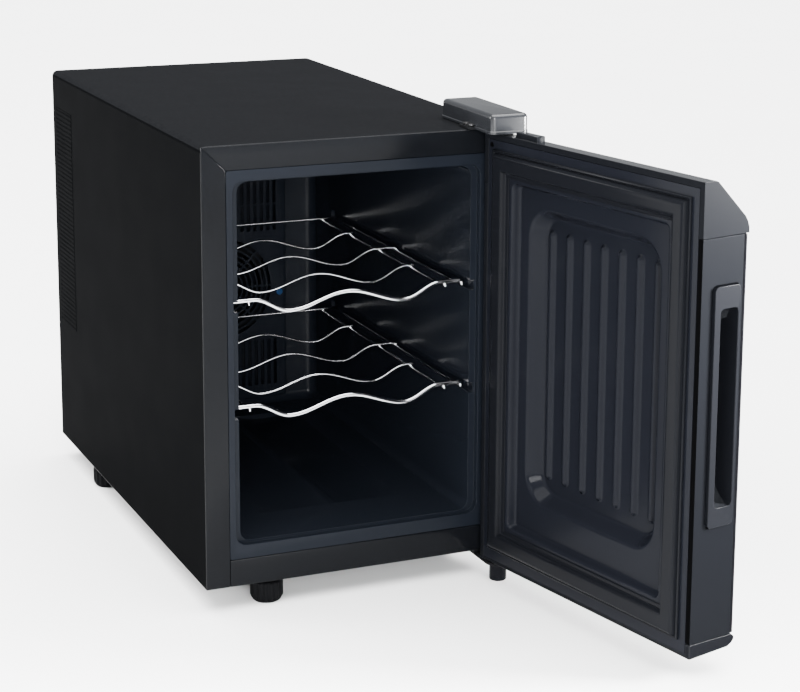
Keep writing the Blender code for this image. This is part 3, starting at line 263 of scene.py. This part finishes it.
def softened(node, finish, body, width=0.0006, segments=3):
    """A CAD node's shape again, with its flats made whole and its edges rounded over."""
    shape = bmesh.new()
    shape.from_mesh(nodes[node].data)
    bmesh.ops.remove_doubles(shape, verts=shape.verts, dist=MERGE_WITHIN)
    bmesh.ops.dissolve_limit(shape, angle_limit=FLAT_WITHIN, verts=shape.verts, edges=shape.edges)
    piece = from_bmesh(node + "_soft", shape)
    rounding = piece.modifiers.new("rounding", "BEVEL")
    rounding.width = width
    rounding.segments = segments
    rounding.limit_method = "ANGLE"
    rounding.angle_limit = ROUNDED_FROM
    rounding.harden_normals = True
    rounding.use_clamp_overlap = True
    rounding.material = 1 if finish in EDGE_FINISH else -1
    return own(piece, finish, body, node)


def refaced(piece, finish, faces_it):
    """Give the faces whose normals pass the test a finish of their own; here that paints light and
    shade by which way the faces turn.
    """
    piece.data.materials.append(MATERIALS[finish])
    for face in piece.data.polygons:
        if faces_it(face.normal):
            face.material_index = len(piece.data.materials) - 1


def skin(shape, lower, upper):
    """Faces between two closed rings of equally many vertices."""
    for i in range(len(lower)):
        j = (i + 1) % len(lower)
        shape.faces.new((lower[i], lower[j], upper[j], upper[i]))


def lofted(name, rings, place, angle=35):
    """Closed body: skin between closed rings of equally many points, and a cap at each end."""
    shape = bmesh.new()
    rows = [[shape.verts.new(p) for p in ring] for ring in rings]
    for lower, upper in zip(rows, rows[1:]):
        skin(shape, lower, upper)
    shape.faces.new(rows[0][::-1])
    shape.faces.new(rows[-1])
    return from_bmesh(name, shape, place, angle)


TUBE_SIDES = 14
DOME = [math.radians(a) for a in (80, 50, 20)]      # where a tube's domed end has its rings


def tube(name, points, radius, place):
    """Round bar along a smooth row of points, with domed ends."""
    points = [Vector(p) for p in points]
    first, last = (points[1] - points[0]).normalized(), (points[-1] - points[-2]).normalized()
    stations = [(points[0] + first * radius * (1 - math.sin(a)), first, math.cos(a)) for a in DOME]
    stations += [(here, (after - before).normalized(), 1.0)
                 for before, here, after in zip(points, points[1:], points[2:])]
    stations += [(points[-1] - last * radius * (1 - math.sin(a)), last, math.cos(a))
                 for a in reversed(DOME)]
    rings = []
    for centre, heading, size in stations:
        side = heading.cross(UP).normalized()
        up = side.cross(heading)
        rings.append([centre + (side * math.cos(t) + up * math.sin(t)) * radius * size
                      for t in (math.tau * k / TUBE_SIDES for k in range(TUBE_SIDES))])
    return lofted(name, rings, place)


def round_rect(x0, x1, y0, y1, radius, steps=6):
    """Outline of a rectangle with round corners."""
    outline = []
    corners = ((x1 - radius, y1 - radius, 0), (x0 + radius, y1 - radius, 90),
               (x0 + radius, y0 + radius, 180), (x1 - radius, y0 + radius, 270))
    for cx, cy, start in corners:
        for i in range(steps + 1):
            a = math.radians(start + 90 * i / steps)
            outline.append((cx + radius * math.cos(a), cy + radius * math.sin(a)))
    return outline


# ---------------------------------------------------------------- camera, light and floor
CAMERA_PLACE = (-0.6408, -1.5923, 0.6394)
HEADING, DIP, ROLL = -24.095, 12.049, 0.473         # degrees
SENSOR_WIDTH, LENS = 36, 97.54                      # millimetres
CAMERA_SHIFT = (-0.0449, -0.1464)
CLIP_START = 0.05
SKY_COLOUR, SKY_STRENGTH = (0.95, 0.97, 1, 1), 0.6
OVERHEAD_STRENGTH, OVERHEAD_ANGLE = 18, 80
SOFT_BOXES = (      # name, place, what it points at, size, watts, and spread in degrees
    ("key", (-1.9, -1.5, 1.5), (0, 0, 0.2), (1.4, 1.4), 28, 180),
    ("front", (-0.60, -2.25, 0.72), (-0.03, 0.2, 0.2), (0.9, 0.7), 104, 180),
    ("back", (-2.3, 1.6, 1.2), (0, 0.15, 0.2), (1.4, 1.2), 110, 180),
    ("fill", (0.66, -0.58, 0.36), (0.13, -0.34, 0.32), (0.22, 0.22), 17, 72),
)
FLOOR_HALF = 12


def make_camera():
    """Long lens from the front left, a little above the cabinet."""
    data = bpy.data.cameras.new("camera")
    data.sensor_width = SENSOR_WIDTH
    data.lens = LENS
    data.shift_x, data.shift_y = CAMERA_SHIFT
    data.clip_start = CLIP_START
    camera = bpy.data.objects.new("camera", data)
    bpy.context.scene.collection.objects.link(camera)
    turn = (Matrix.Rotation(math.radians(HEADING), 4, "Z")
            @ Matrix.Rotation(math.radians(90 - DIP), 4, "X")
            @ Matrix.Rotation(math.radians(ROLL), 4, "Z"))
    camera.matrix_world = Matrix.Translation(CAMERA_PLACE) @ turn
    bpy.context.scene.camera = camera


def area_light(name, place, target, size, power, spread):
    """Soft box that lights the object and isn't seen itself."""
    data = bpy.data.lights.new(name, "AREA")
    data.shape = "RECTANGLE"
    data.size, data.size_y = size
    data.energy = power
    data.spread = math.radians(spread)
    light = bpy.data.objects.new(name, data)
    light.location = place
    light.visible_camera = False
    light.rotation_euler = (Vector(target) - Vector(place)).to_track_quat("-Z", "Y").to_euler()
    bpy.context.scene.collection.objects.link(light)


def make_studio():
    """Pale floor, even overhead light, soft boxes left, before and behind, and a small fill right."""
    world = bpy.data.worlds.new("studio")
    bpy.context.scene.world = world
    world.use_nodes = True
    sky = world.node_tree.nodes["Background"]
    sky.inputs["Color"].default_value = SKY_COLOUR
    sky.inputs["Strength"].default_value = SKY_STRENGTH
    overhead = bpy.data.lights.new("overhead", "SUN")
    overhead.energy = OVERHEAD_STRENGTH
    overhead.angle = math.radians(OVERHEAD_ANGLE)
    bpy.context.scene.collection.objects.link(bpy.data.objects.new("overhead", overhead))
    for soft_box in SOFT_BOXES:
        area_light(*soft_box)
    shape = bmesh.new()
    bmesh.ops.create_grid(shape, x_segments=1, y_segments=1, size=FLOOR_HALF)
    floor = from_bmesh("floor", shape, facing=UP)
    finish = Finish("pale_floor", (0.94, 0.94, 0.94), 0.7)
    floor.data.materials.append(finish.mottle(3, 0.01).material)


# ---------------------------------------------------------------- cabinet
FLANGE_PROUD, FLANGE_SUNK = 0.0004, 0.0006      # before and behind the shell's own front
FLANGE_INSET = 0.0004                           # in from the shell's sides and top
FLANGE_FOOT = 0.0006                            # up from the cabinet's underside
SEAM = 0.00025


def flange_strip(tag, corners, edge_finish, slot, edge=0.0005):
    """A flat strip, standing up in X and Z, with its front edges rounded over."""
    y_front, y_back = FRONT - FLANGE_PROUD, FRONT + FLANGE_SUNK
    shape = bmesh.new()
    front = [shape.verts.new((x, y_front, z)) for x, z in corners]
    rear = [shape.verts.new((x, y_back, z)) for x, z in corners]
    shape.faces.new(front)
    shape.faces.new(rear[::-1])
    for i in range(len(corners)):
        j = (i + 1) % len(corners)
        shape.faces.new((front[i], rear[i], rear[j], front[j]))
    bmesh.ops.recalc_face_normals(shape, faces=shape.faces)
    rim = [e for e in shape.edges if all(abs(v.co.y - y_front) < 1e-6 for v in e.verts)]
    bmesh.ops.bevel(shape, geom=rim, offset=edge, segments=4, affect="EDGES", profile=0.5,
                    material=1)
    piece = own(from_bmesh(f"front_flange_{tag}", shape, CABINET, 40), "flange", "cabinet", slot=slot)
    piece.data.materials.append(MATERIALS[edge_finish])


def make_flanges():
    """The shell's front flanges, folded strips that meet in mitres at the top, and the base's lip."""
    low, high = span("inner_liner", CABINET)
    side, top, under = low.x - SEAM, high.z + SEAM, low.z - SEAM
    out, roof = HALF - FLANGE_INSET, TOP - FLANGE_INSET
    for sign, tag in ((-1, "left"), (1, "right")):
        flange_strip(tag, [(sign * out, FLANGE_FOOT), (sign * out, roof - SEAM),
                           (sign * -side, top - SEAM), (sign * -side, FLANGE_FOOT)],
                     "flange", "outer_shell")
    flange_strip("top", [(-out + SEAM, roof), (side + SEAM, top), (-side - SEAM, top),
                         (out - SEAM, roof)], "paint_edge", "outer_shell")
    # its rounded edge wears the hinge cover's light grey: a painted highlight line along the base's
    # lip
    flange_strip("bottom", [(side + SEAM, FLANGE_FOOT), (side + SEAM, under),
                            (-side - SEAM, under), (-side - SEAM, FLANGE_FOOT)],
                 "cover", "base_plate", edge=0.0009)


VENT_AREA = (0.1550, 0.2075, 0.1140, 0.3130)    # in the cabinet's frame: y from and to, z from and to
VENT_CELL = (0.0035, 0.0040)
VENT_PROUD, VENT_FLOOR = 0.00025, 0.00003       # the skin and the slots' floor, out from the shell
VENT_SLOT = (0.0013, 0.0006)                    # half length and half width of one slot
VENT_SLANT = math.radians(45)


def make_side_vent(sign, tag):
    """Perforated strip near the back of a side wall: rows of short slanting slots."""
    y0, y1, z0, z1 = VENT_AREA
    columns, rows = round((y1 - y0) / VENT_CELL[0]), round((z1 - z0) / VENT_CELL[1])
    outside, inside_x = sign * (HALF + VENT_PROUD), sign * (HALF + VENT_FLOOR)
    shape = bmesh.new()
    along = Vector((math.cos(VENT_SLANT), math.sin(VENT_SLANT))) * VENT_SLOT[0]
    across = Vector((-math.sin(VENT_SLANT), math.cos(VENT_SLANT))) * VENT_SLOT[1]
    grid = [[shape.verts.new((outside, y0 + (y1 - y0) * i / columns, z0 + (z1 - z0) * j / rows))
             for i in range(columns + 1)] for j in range(rows + 1)]
    for j in range(rows):
        for i in range(columns):
            cell = [grid[j][i], grid[j][i + 1], grid[j + 1][i + 1], grid[j + 1][i]]
            middle = sum((v.co for v in cell), Vector()) / 4
            corners = (-along - across, along - across, along + across, -along + across)
            lip = [shape.verts.new((outside, middle.y + c.x, middle.z + c.y)) for c in corners]
            floor = [shape.verts.new((inside_x, v.co.y, v.co.z)) for v in lip]
            for k in range(4):
                n = (k + 1) % 4
                shape.faces.new((cell[k], cell[n], lip[n], lip[k]))
                shape.faces.new((lip[k], lip[n], floor[n], floor[k]))
            # each slot's floor is painted near black: painted shade for the dark depth behind the
            # holes
            shape.faces.new(floor).material_index = 1
    rim = bmesh.ops.extrude_edge_only(shape, edges=[edge for edge in shape.edges if edge.is_boundary])
    for vert in (g for g in rim["geom"] if isinstance(g, bmesh.types.BMVert)):
        vert.co.x = inside_x
    piece = from_bmesh(f"side_vent_{tag}", shape, CABINET, 30, Vector((sign, 0, 0)))
    # the vent's skin takes the sides' darker copy of the paint: painted shade
    own(piece, "side_paint", "cabinet", slot="outer_shell")
    piece.data.materials.append(MATERIALS["painted_shade_and_screw_black"])


def make_casing():
    """Shell, base, back and liner, and what is fixed to them; the sides wear a darker copy of the
    top's paint, painted shade.
    """
    shell = softened("outer_shell", "paint", "cabinet", width=0.0007)
    # faces turned to the sides take the darker copy of the paint: painted shade
    refaced(shell, "side_paint", lambda normal: abs(normal.x) > 0.9)
    softened("base_plate", "paint", "cabinet", width=0.0005)
    make_flanges()
    make_side_vent(-1, "left")
    make_side_vent(1, "right")
    softened("rear_panel", "paint", "cabinet", width=0.0003, segments=2)
    softened("rear_fan_guard", "black", "cabinet", width=0.0004, segments=2)
    softened("inner_liner", "liner", "cabinet", width=0.0010)
    softened("fan_cover", "liner", "cabinet", width=0.0005, segments=2)
    softened("cord_gland", "black", "cabinet", width=0.0005)


FLUTES, FLUTED_SIDES = 16, 128
FOOT_SOLE = ((0.0100, 0), (0.0112, 0.0012), (0.0116, 0.0022))       # plain rings: radius, height
# the fluted rings: how far in from the full radius, the flutes' depth, and the height or the drop
FOOT_LOWER = ((0.0012, 0.0012, 0.0026), (0.0002, 0.0012, 0.0036), (0, 0.0012, 0.0050))
FOOT_UPPER = ((0, 0.0012, 0.0048), (0.0003, 0.0010, 0.0036), (0.0016, 0.0006, 0.0026))
FOOT_NECK, NECK_TALL = 0.0095, 0.0024


def fluted_ring(radius, depth, z):
    """Ring whose radius dips by the flutes' depth."""
    ring = []
    for i in range(FLUTED_SIDES):
        a = math.tau * i / FLUTED_SIDES
        r = radius - depth * (0.5 - 0.5 * math.cos(FLUTES * a))
        ring.append((r * math.cos(a), r * math.sin(a), z))
    return ring


def make_feet():
    """Three fluted feet, and the small round one under the lower hinge."""
    for node in ("front_left_foot", "rear_left_foot", "rear_right_foot"):
        low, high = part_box(node)
        middle = (low + high) / 2
        radius = (high.x - low.x) / 2
        tall = high.z - low.z
        profile = [(r, 0, z) for r, z in FOOT_SOLE]
        profile += [(radius - inset, depth, z) for inset, depth, z in FOOT_LOWER]
        profile += [(radius - inset, depth, tall - drop) for inset, depth, drop in FOOT_UPPER]
        profile += [(FOOT_NECK, 0, tall - NECK_TALL), (FOOT_NECK, 0, tall)]
        rings = [fluted_ring(*row) for row in profile]
        place = Matrix.Translation((middle.x, middle.y, low.z))
        own(lofted(node + "_fluted", rings, place, angle=50), "foot_black", "cabinet", node)
    softened("front_right_foot", "grip", "cabinet", width=0.0010)


COVER_FOOT = ((0.0004, 0.0), (0.0, 0.0004), (0.0, 0.0020), (0.0005, 0.0025))    # inset and height
COVER_DOME, COVER_DOME_STEPS = 0.0034, 7
COVER_CORNER, COVER_CORNER_LEAST = 0.0046, 0.0014


def make_hinges():
    """Hinge cover with a stepped foot and a domed rim, and the plates, pins and screws."""
    low, high = span("hinge_cover", CABINET)
    body, shoulder = COVER_FOOT[-1][0], high.z - low.z - COVER_DOME
    levels = [*COVER_FOOT, (body, shoulder)]
    bends = [math.radians(90 * i / COVER_DOME_STEPS) for i in range(1, COVER_DOME_STEPS + 1)]
    levels += [(body + COVER_DOME * (1 - math.cos(a)), shoulder + COVER_DOME * math.sin(a))
               for a in bends]
    rings = []
    for inset, z in levels:
        radius = max(COVER_CORNER_LEAST, COVER_CORNER - inset)
        ring = round_rect(low.x + inset, high.x - inset, low.y + inset, high.y - inset, radius)
        rings.append([(x, y, low.z + z) for x, y in ring])
    own(lofted("hinge_cover_rounded", rings, CABINET), "cover", "cabinet", "hinge_cover")
    softened("upper_hinge_bracket", "black", "cabinet", width=0.0003, segments=2)
    softened("lower_hinge_bracket", "paint", "cabinet", width=0.0004, segments=2)
    for node in ("upper_hinge_pin", "lower_hinge_pin", "upper_hinge_screw_1", "upper_hinge_screw_2"):
        softened(node, "zinc", "cabinet", width=0.0003, segments=2)


# ---------------------------------------------------------------- racks
WAVE_DROP, WAVE_VALLEY, WAVE_END = 0.0110, 0.048, 0.078     # a wavy wire's drop, valley and end
RAIL_STEPS, STRAIGHT_STEPS, WAVE_STEPS = 8, 12, 96
CROSS_WIRES = ("back_wire", "wave_wire_1", "wave_wire_2", "wave_wire_3", "front_wire")
CROSSES_WITHIN = (0.002, 0.004)         # across and along a rail
WELD = (0.0017, 0.0019, 0.0013)


def wave_height(x):
    """How far a wavy wire lies below its own top, at a distance from the rack's middle."""
    reach = abs(x)
    if reach >= WAVE_END:
        return 0.0
    if reach <= WAVE_VALLEY:
        return WAVE_DROP * (1 - math.cos(math.pi * reach / WAVE_VALLEY)) / 2
    return WAVE_DROP * (1 + math.cos(math.pi * (reach - WAVE_VALLEY) / (WAVE_END - WAVE_VALLEY))) / 2


def make_rack(rack):
    """Smooth chromed wires in place of the faceted ones, and the welds where they cross."""
    across, along = CROSSES_WITHIN
    rails = [f"{rack}_{row}_rail_{side}" for row in ("outer", "inner") for side in ("left", "right")]
    for node in rails:
        low, high = span(node, CABINET)
        x, z, radius = (low.x + high.x) / 2, (low.z + high.z) / 2, (high.z - low.z) / 2
        points = [(x, low.y + (high.y - low.y) * i / RAIL_STEPS, z) for i in range(RAIL_STEPS + 1)]
        own(tube(node + "_wire", points, radius, CABINET), "chrome", rack, node)
    crossings = []
    for node in [f"{rack}_{name}" for name in CROSS_WIRES]:
        low, high = span(node, CABINET)
        y, radius = (low.y + high.y) / 2, (high.y - low.y) / 2
        waves = "back" not in node
        top = high.z - radius
        steps = WAVE_STEPS if waves else STRAIGHT_STEPS
        points = []
        for i in range(steps + 1):
            x = low.x + (high.x - low.x) * i / steps
            points.append((x, y, top - (wave_height(x) if waves else 0)))
        own(tube(node + "_wire", points, radius, CABINET), "chrome", rack, node)
        for rail in rails:
            a, b = span(rail, CABINET)
            x = (a.x + b.x) / 2
            if (low.x < x + across and x - across < high.x) and a.y - along < y < b.y + along:
                crossings.append((x, y, (top - radius + b.z) / 2))
    drops = bmesh.new()
    for place in crossings:
        bmesh.ops.create_icosphere(drops, subdivisions=2, radius=1,
                                   matrix=Matrix.Translation(place) @ Matrix.Diagonal((*WELD, 1)))
    own(from_bmesh(rack + "_welds", drops, CABINET, 60), "chrome", rack, slot=rack + "_back_wire")


# ---------------------------------------------------------------- door
def ramp(t, k=0.3):
    """Straight ramp from 0 to 1 with its ends rounded over."""
    t = min(max(t, 0.0), 1.0)
    if t < k:
        return t * t / (2 * k * (1 - k))
    if t > 1 - k:
        return 1 - (1 - t) ** 2 / (2 * k * (1 - k))
    return (t - k / 2) / (1 - k)


def inside(x, z, x0, x1, z0, z1, radius):
    """How far a point lies inside a round-cornered rectangle; below zero outside it."""
    qx = abs(x - (x0 + x1) / 2) - (x1 - x0) / 2 + radius
    qz = abs(z - (z0 + z1) / 2) - (z1 - z0) / 2 + radius
    return radius - math.hypot(max(qx, 0), max(qz, 0)) - min(max(qx, qz), 0)


def grid_lines(low, high, coarse, fine, bands):
    """Places between low and high, close together inside the bands and wide apart elsewhere."""
    places = [low]
    while places[-1] < high - 1e-6:
        here = places[-1]
        step = fine if any(a - coarse < here < b for a, b in bands) else coarse
        places.append(min(here + step, high))
    return places


EDGE = 0.005                                # the skin's border stands in from the door's edge
DOOR_BOTTOM, DOOR_TOP = -0.0030, 0.3440     # the door's lowest and highest, with its two caps
PANEL_INSET = 0.0345                        # door edge to the panel's step
PANEL_STEP, PANEL_SLOPE, PANEL_CORNER = 0.0070, 0.0035, 0.0060
POCKET_HALF, POCKET_LOW, POCKET_HIGH = 0.0770, 0.0570, 0.2940
POCKET_DEPTH, POCKET_SLOPE, POCKET_CORNER = 0.0185, 0.0105, 0.026
RIBS_EACH_WAY, RIB_PITCH, RIB_LOW, RIB_HIGH = 3, 0.0203, 0.0760, 0.2760
RIB_HALF, RIB_PROUD, RIB_SLOPE, RIB_ROUNDING = 0.0046, 0.0030, 0.0040, 0.45
SKIN_RIM = 0.0015
# the skin's grid: wide steps, small steps, and how far the small ones run past each sloping part
WIDE_X, WIDE_Z, SMALL = 0.004, 0.005, 0.0007
PAST_PANEL, INTO_PANEL, PAST_POCKET_X, PAST_POCKET_Z, PAST_RIB = 0.006, 0.005, 0.002, 0.001, 0.008


def make_door_skin():
    """Inner door skin: a flat border, a shallow panel, and a deep pocket with upright ribs."""
    low, high = span("door_inner_liner", DOOR)
    pivot_x = (CABINET.inverted() @ DOOR.translation).x
    x0, x1 = low.x - EDGE + PANEL_INSET, high.x + EDGE - PANEL_INSET
    z0, z1 = DOOR_BOTTOM + PANEL_INSET, DOOR_TOP - PANEL_INSET
    pocket_x0, pocket_x1 = -POCKET_HALF - pivot_x, POCKET_HALF - pivot_x

    def depth(x, z):
        panel = inside(x, z, x0, x1, z0, z1, PANEL_CORNER)
        pocket = inside(x, z, pocket_x0, pocket_x1, POCKET_LOW, POCKET_HIGH, POCKET_CORNER)
        down = (PANEL_STEP * ramp(panel / PANEL_SLOPE)
                + (POCKET_DEPTH - PANEL_STEP) * ramp(pocket / POCKET_SLOPE))
        for i in range(-RIBS_EACH_WAY, RIBS_EACH_WAY + 1):
            middle = i * RIB_PITCH - pivot_x
            if abs(x - middle) < RIB_HALF:
                rib = inside(x, z, middle - RIB_HALF, middle + RIB_HALF, RIB_LOW, RIB_HIGH, RIB_HALF)
                down -= RIB_PROUD * ramp(rib / RIB_SLOPE, RIB_ROUNDING)
        return down

    xs = grid_lines(low.x, high.x, WIDE_X, SMALL, [
        (x0 - PAST_PANEL, x0 + INTO_PANEL), (pocket_x0 - PAST_POCKET_X, pocket_x1 + PAST_POCKET_X),
        (x1 - INTO_PANEL, x1 + PAST_PANEL)])
    zs = grid_lines(low.z, high.z, WIDE_Z, SMALL, [
        (z0 - PAST_PANEL, z0 + PAST_PANEL), (POCKET_LOW - PAST_POCKET_Z, RIB_LOW + PAST_RIB),
        (RIB_HIGH - PAST_RIB, POCKET_HIGH + PAST_POCKET_Z), (z1 - PAST_PANEL, z1 + PAST_PANEL)])
    shape = bmesh.new()
    rows = [[shape.verts.new((x, high.y - depth(x, z), z)) for x in xs] for z in zs]
    for a, b in zip(rows, rows[1:]):
        for i in range(len(a) - 1):
            shape.faces.new((a[i], b[i], b[i + 1], a[i + 1]))
    rim = [edge for edge in shape.edges if edge.is_boundary]
    turned = bmesh.ops.extrude_edge_only(shape, edges=rim)
    for vert in (g for g in turned["geom"] if isinstance(g, bmesh.types.BMVert)):
        vert.co.y -= SKIN_RIM
    piece = from_bmesh("door_skin", shape, DOOR, 85, Vector((0, 1, 0)))
    own(piece, "door_skin", "door", "door_inner_liner")


SEAL_PROFILE = (   # inset from the seal's outer edge and height over the door's face, in millimetres
    (0.0, 0.3), (0.0, 1.5), (0.3, 2.0), (0.9, 2.3), (1.6, 2.1), (2.1, 1.6), (2.5, 1.3),
    (2.8, 1.7), (3.0, 3.0), (3.3, 4.1), (3.9, 4.9), (4.8, 5.4), (6.2, 5.6), (9.5, 5.5),
    (12.8, 5.6), (14.2, 5.4), (15.1, 4.9), (15.7, 4.1), (16.1, 3.0), (16.4, 1.9), (16.9, 1.4),
    (17.8, 1.2), (18.9, 1.2), (19.6, 1.0), (20.0, 0.7), (20.0, 0.3))
SEAL_TALL, SEAL_SUNK = 0.0056, 0.0003       # the profile's greatest height, and where it starts


def make_seal():
    """Magnetic seal: its profile run round the door, mitred at the corners."""
    low, high = span("door_gasket", DOOR)
    face = low.y - SEAL_SUNK
    scale = (high.y - face) / SEAL_TALL
    shape = bmesh.new()
    rows = []
    for inset, height in SEAL_PROFILE:
        d, y = inset / 1000, face + height / 1000 * scale
        corners = ((low.x + d, low.z + d), (high.x - d, low.z + d),
                   (high.x - d, high.z - d), (low.x + d, high.z - d))
        rows.append([shape.verts.new((x, y, z)) for x, z in corners])
    for lower, upper in zip(rows, rows[1:] + rows[:1]):
        skin(shape, lower, upper)
    own(from_bmesh("door_seal", shape, DOOR, 40), "vinyl", "door", "door_gasket")


GRIP_SLOT = (0.0168, 0.0330, 0.1080, 0.2530)    # depths from the door's inner face, and heights
SCOOP_RADII, SCOOP_STEPS = (0.0170, 0.0100), 12         # at the slot's lower and upper end
SCOOP_INSET, SCOOP_BACK, SCOOP_OVERLAP = 0.0012, 0.0010, 0.0008


def make_grip_scoops():
    """Curved run-outs at the slot's two ends, where fingers slide in."""
    left = span("door_handle", DOOR)[0].x + SCOOP_INSET
    face = span("free_edge_trim", DOOR)[1].y
    near, far, bottom, top = GRIP_SLOT
    depths = (face - near + SCOOP_OVERLAP, face - far - SCOOP_OVERLAP)
    bends = [math.radians(-90 + 90 * i / SCOOP_STEPS) for i in range(SCOOP_STEPS + 1)]
    shape = bmesh.new()
    for start, radius, way in ((bottom, SCOOP_RADII[0], 1), (top, SCOOP_RADII[1], -1)):
        outline = [(left + radius * math.cos(a), start + way * radius * (1 + math.sin(a)))
                   for a in bends]
        back, end = outline[-1][0] + SCOOP_BACK, start - way * SCOOP_OVERLAP
        outline += [(back, outline[-1][1]), (back, end), (outline[0][0], end)]
        rows = [[shape.verts.new((x, y, z)) for x, z in outline] for y in depths]
        skin(shape, *rows)
        for row in rows:
            shape.faces.new(row)
    # the scoops wear the hinge cover's lighter grey rather than the handle's: a painted highlight
    # where light falls into the slot
    own(from_bmesh("grip_scoops", shape, DOOR, 40), "cover", "door", slot="door_handle")


BORDER_SCREW = (0.0020, 0.3350)     # beside the upper hinge pin: across and up the door's inner face
# radius and height of each ring of the head, over the skin
SCREW_RINGS = ((0.0021, 0.0), (0.0020, 0.0003), (0.0016, 0.0003), (0.0012, 0.0001))
SCREW_SIDES = 20


def make_border_screw():
    """Sunk screw head in the skin's border, near the upper hinge."""
    x, z = BORDER_SCREW
    face = span("door_inner_liner", DOOR)[1].y
    angles = [math.tau * i / SCREW_SIDES for i in range(SCREW_SIDES)]
    rings = [[(x + r * math.cos(a), face + y, z + r * math.sin(a)) for a in angles]
             for r, y in SCREW_RINGS]
    own(lofted("border_screw", rings, DOOR), "painted_shade_and_screw_black", "door", slot="door_inner_liner")


def make_door():
    """Door: caps, edge trims, front, handle, bushes, buttons, inner skin and seal."""
    cap = softened("door_top_cap", "trim", "door", width=0.0008)
    # the cap's upward faces wear the hinge cover's lighter grey: a painted highlight for the light
    # from above
    refaced(cap, "cover", lambda normal: normal.z > 0.9)
    softened("door_bottom_cap", "trim", "door", width=0.0014, segments=4)
    edge = softened("free_edge_trim", "trim", "door", width=0.0005)
    # the trim's face towards the cabinet is painted near black: painted shade where the seal's side
    # and its shadow fall
    inward = DOOR.to_3x3() @ Vector((0, 1, 0))
    refaced(edge, "painted_shade_and_screw_black", lambda normal: normal.dot(inward) > 0.9)
    edge.modifiers["rounding"].material = -1
    softened("hinge_edge_trim", "trim", "door", width=0.0005)
    softened("door_front_panel", "gloss", "door", width=0.0004)
    softened("door_handle", "grip", "door", width=0.0010, segments=4)
    make_grip_scoops()
    for node, body in (("upper_hinge_bush", "door"), ("lower_hinge_bush", "door"),
                       ("up_button", "up_button"), ("down_button", "down_button")):
        softened(node, "black", body, width=0.0003, segments=2)
    make_door_skin()
    make_border_screw()
    make_seal()


# ---------------------------------------------------------------- inner works
def finish_inner_works():
    """Foams and engine parts that keep the CAD shape, then the sinks and the two fans."""
    for node, finish in (("cabinet_foam", "foam"), ("door_foam", "foam"),
                         ("cold_spacer", "aluminium"), ("thermoelectric_module", "ceramic"),
                         ("power_board", "board"), ("interior_led", "lens")):
        nodes[node].data.materials.clear()
        nodes[node].data.materials.append(MATERIALS[finish])
    # the cold sink, aluminium like the hot one, wears the fans' black: painted shade behind the fan
    # guard
    softened("cold_sink", "fan_black_and_painted_shade", "cabinet", width=0.0002, segments=1)
    softened("hot_sink", "aluminium", "cabinet", width=0.0002, segments=1)
    for where in ("inner", "rear"):
        rotor = f"{where}_fan_rotor"
        softened(f"{where}_fan_frame", "fan_black_and_painted_shade", "cabinet", width=0.0005, segments=2)
        softened(rotor, "fan_black_and_painted_shade", rotor, width=0.0002, segments=1)


make_camera()
make_studio()
make_casing()
make_feet()
make_hinges()
make_rack("upper_rack")
make_rack("lower_rack")
make_door()
finish_inner_works()
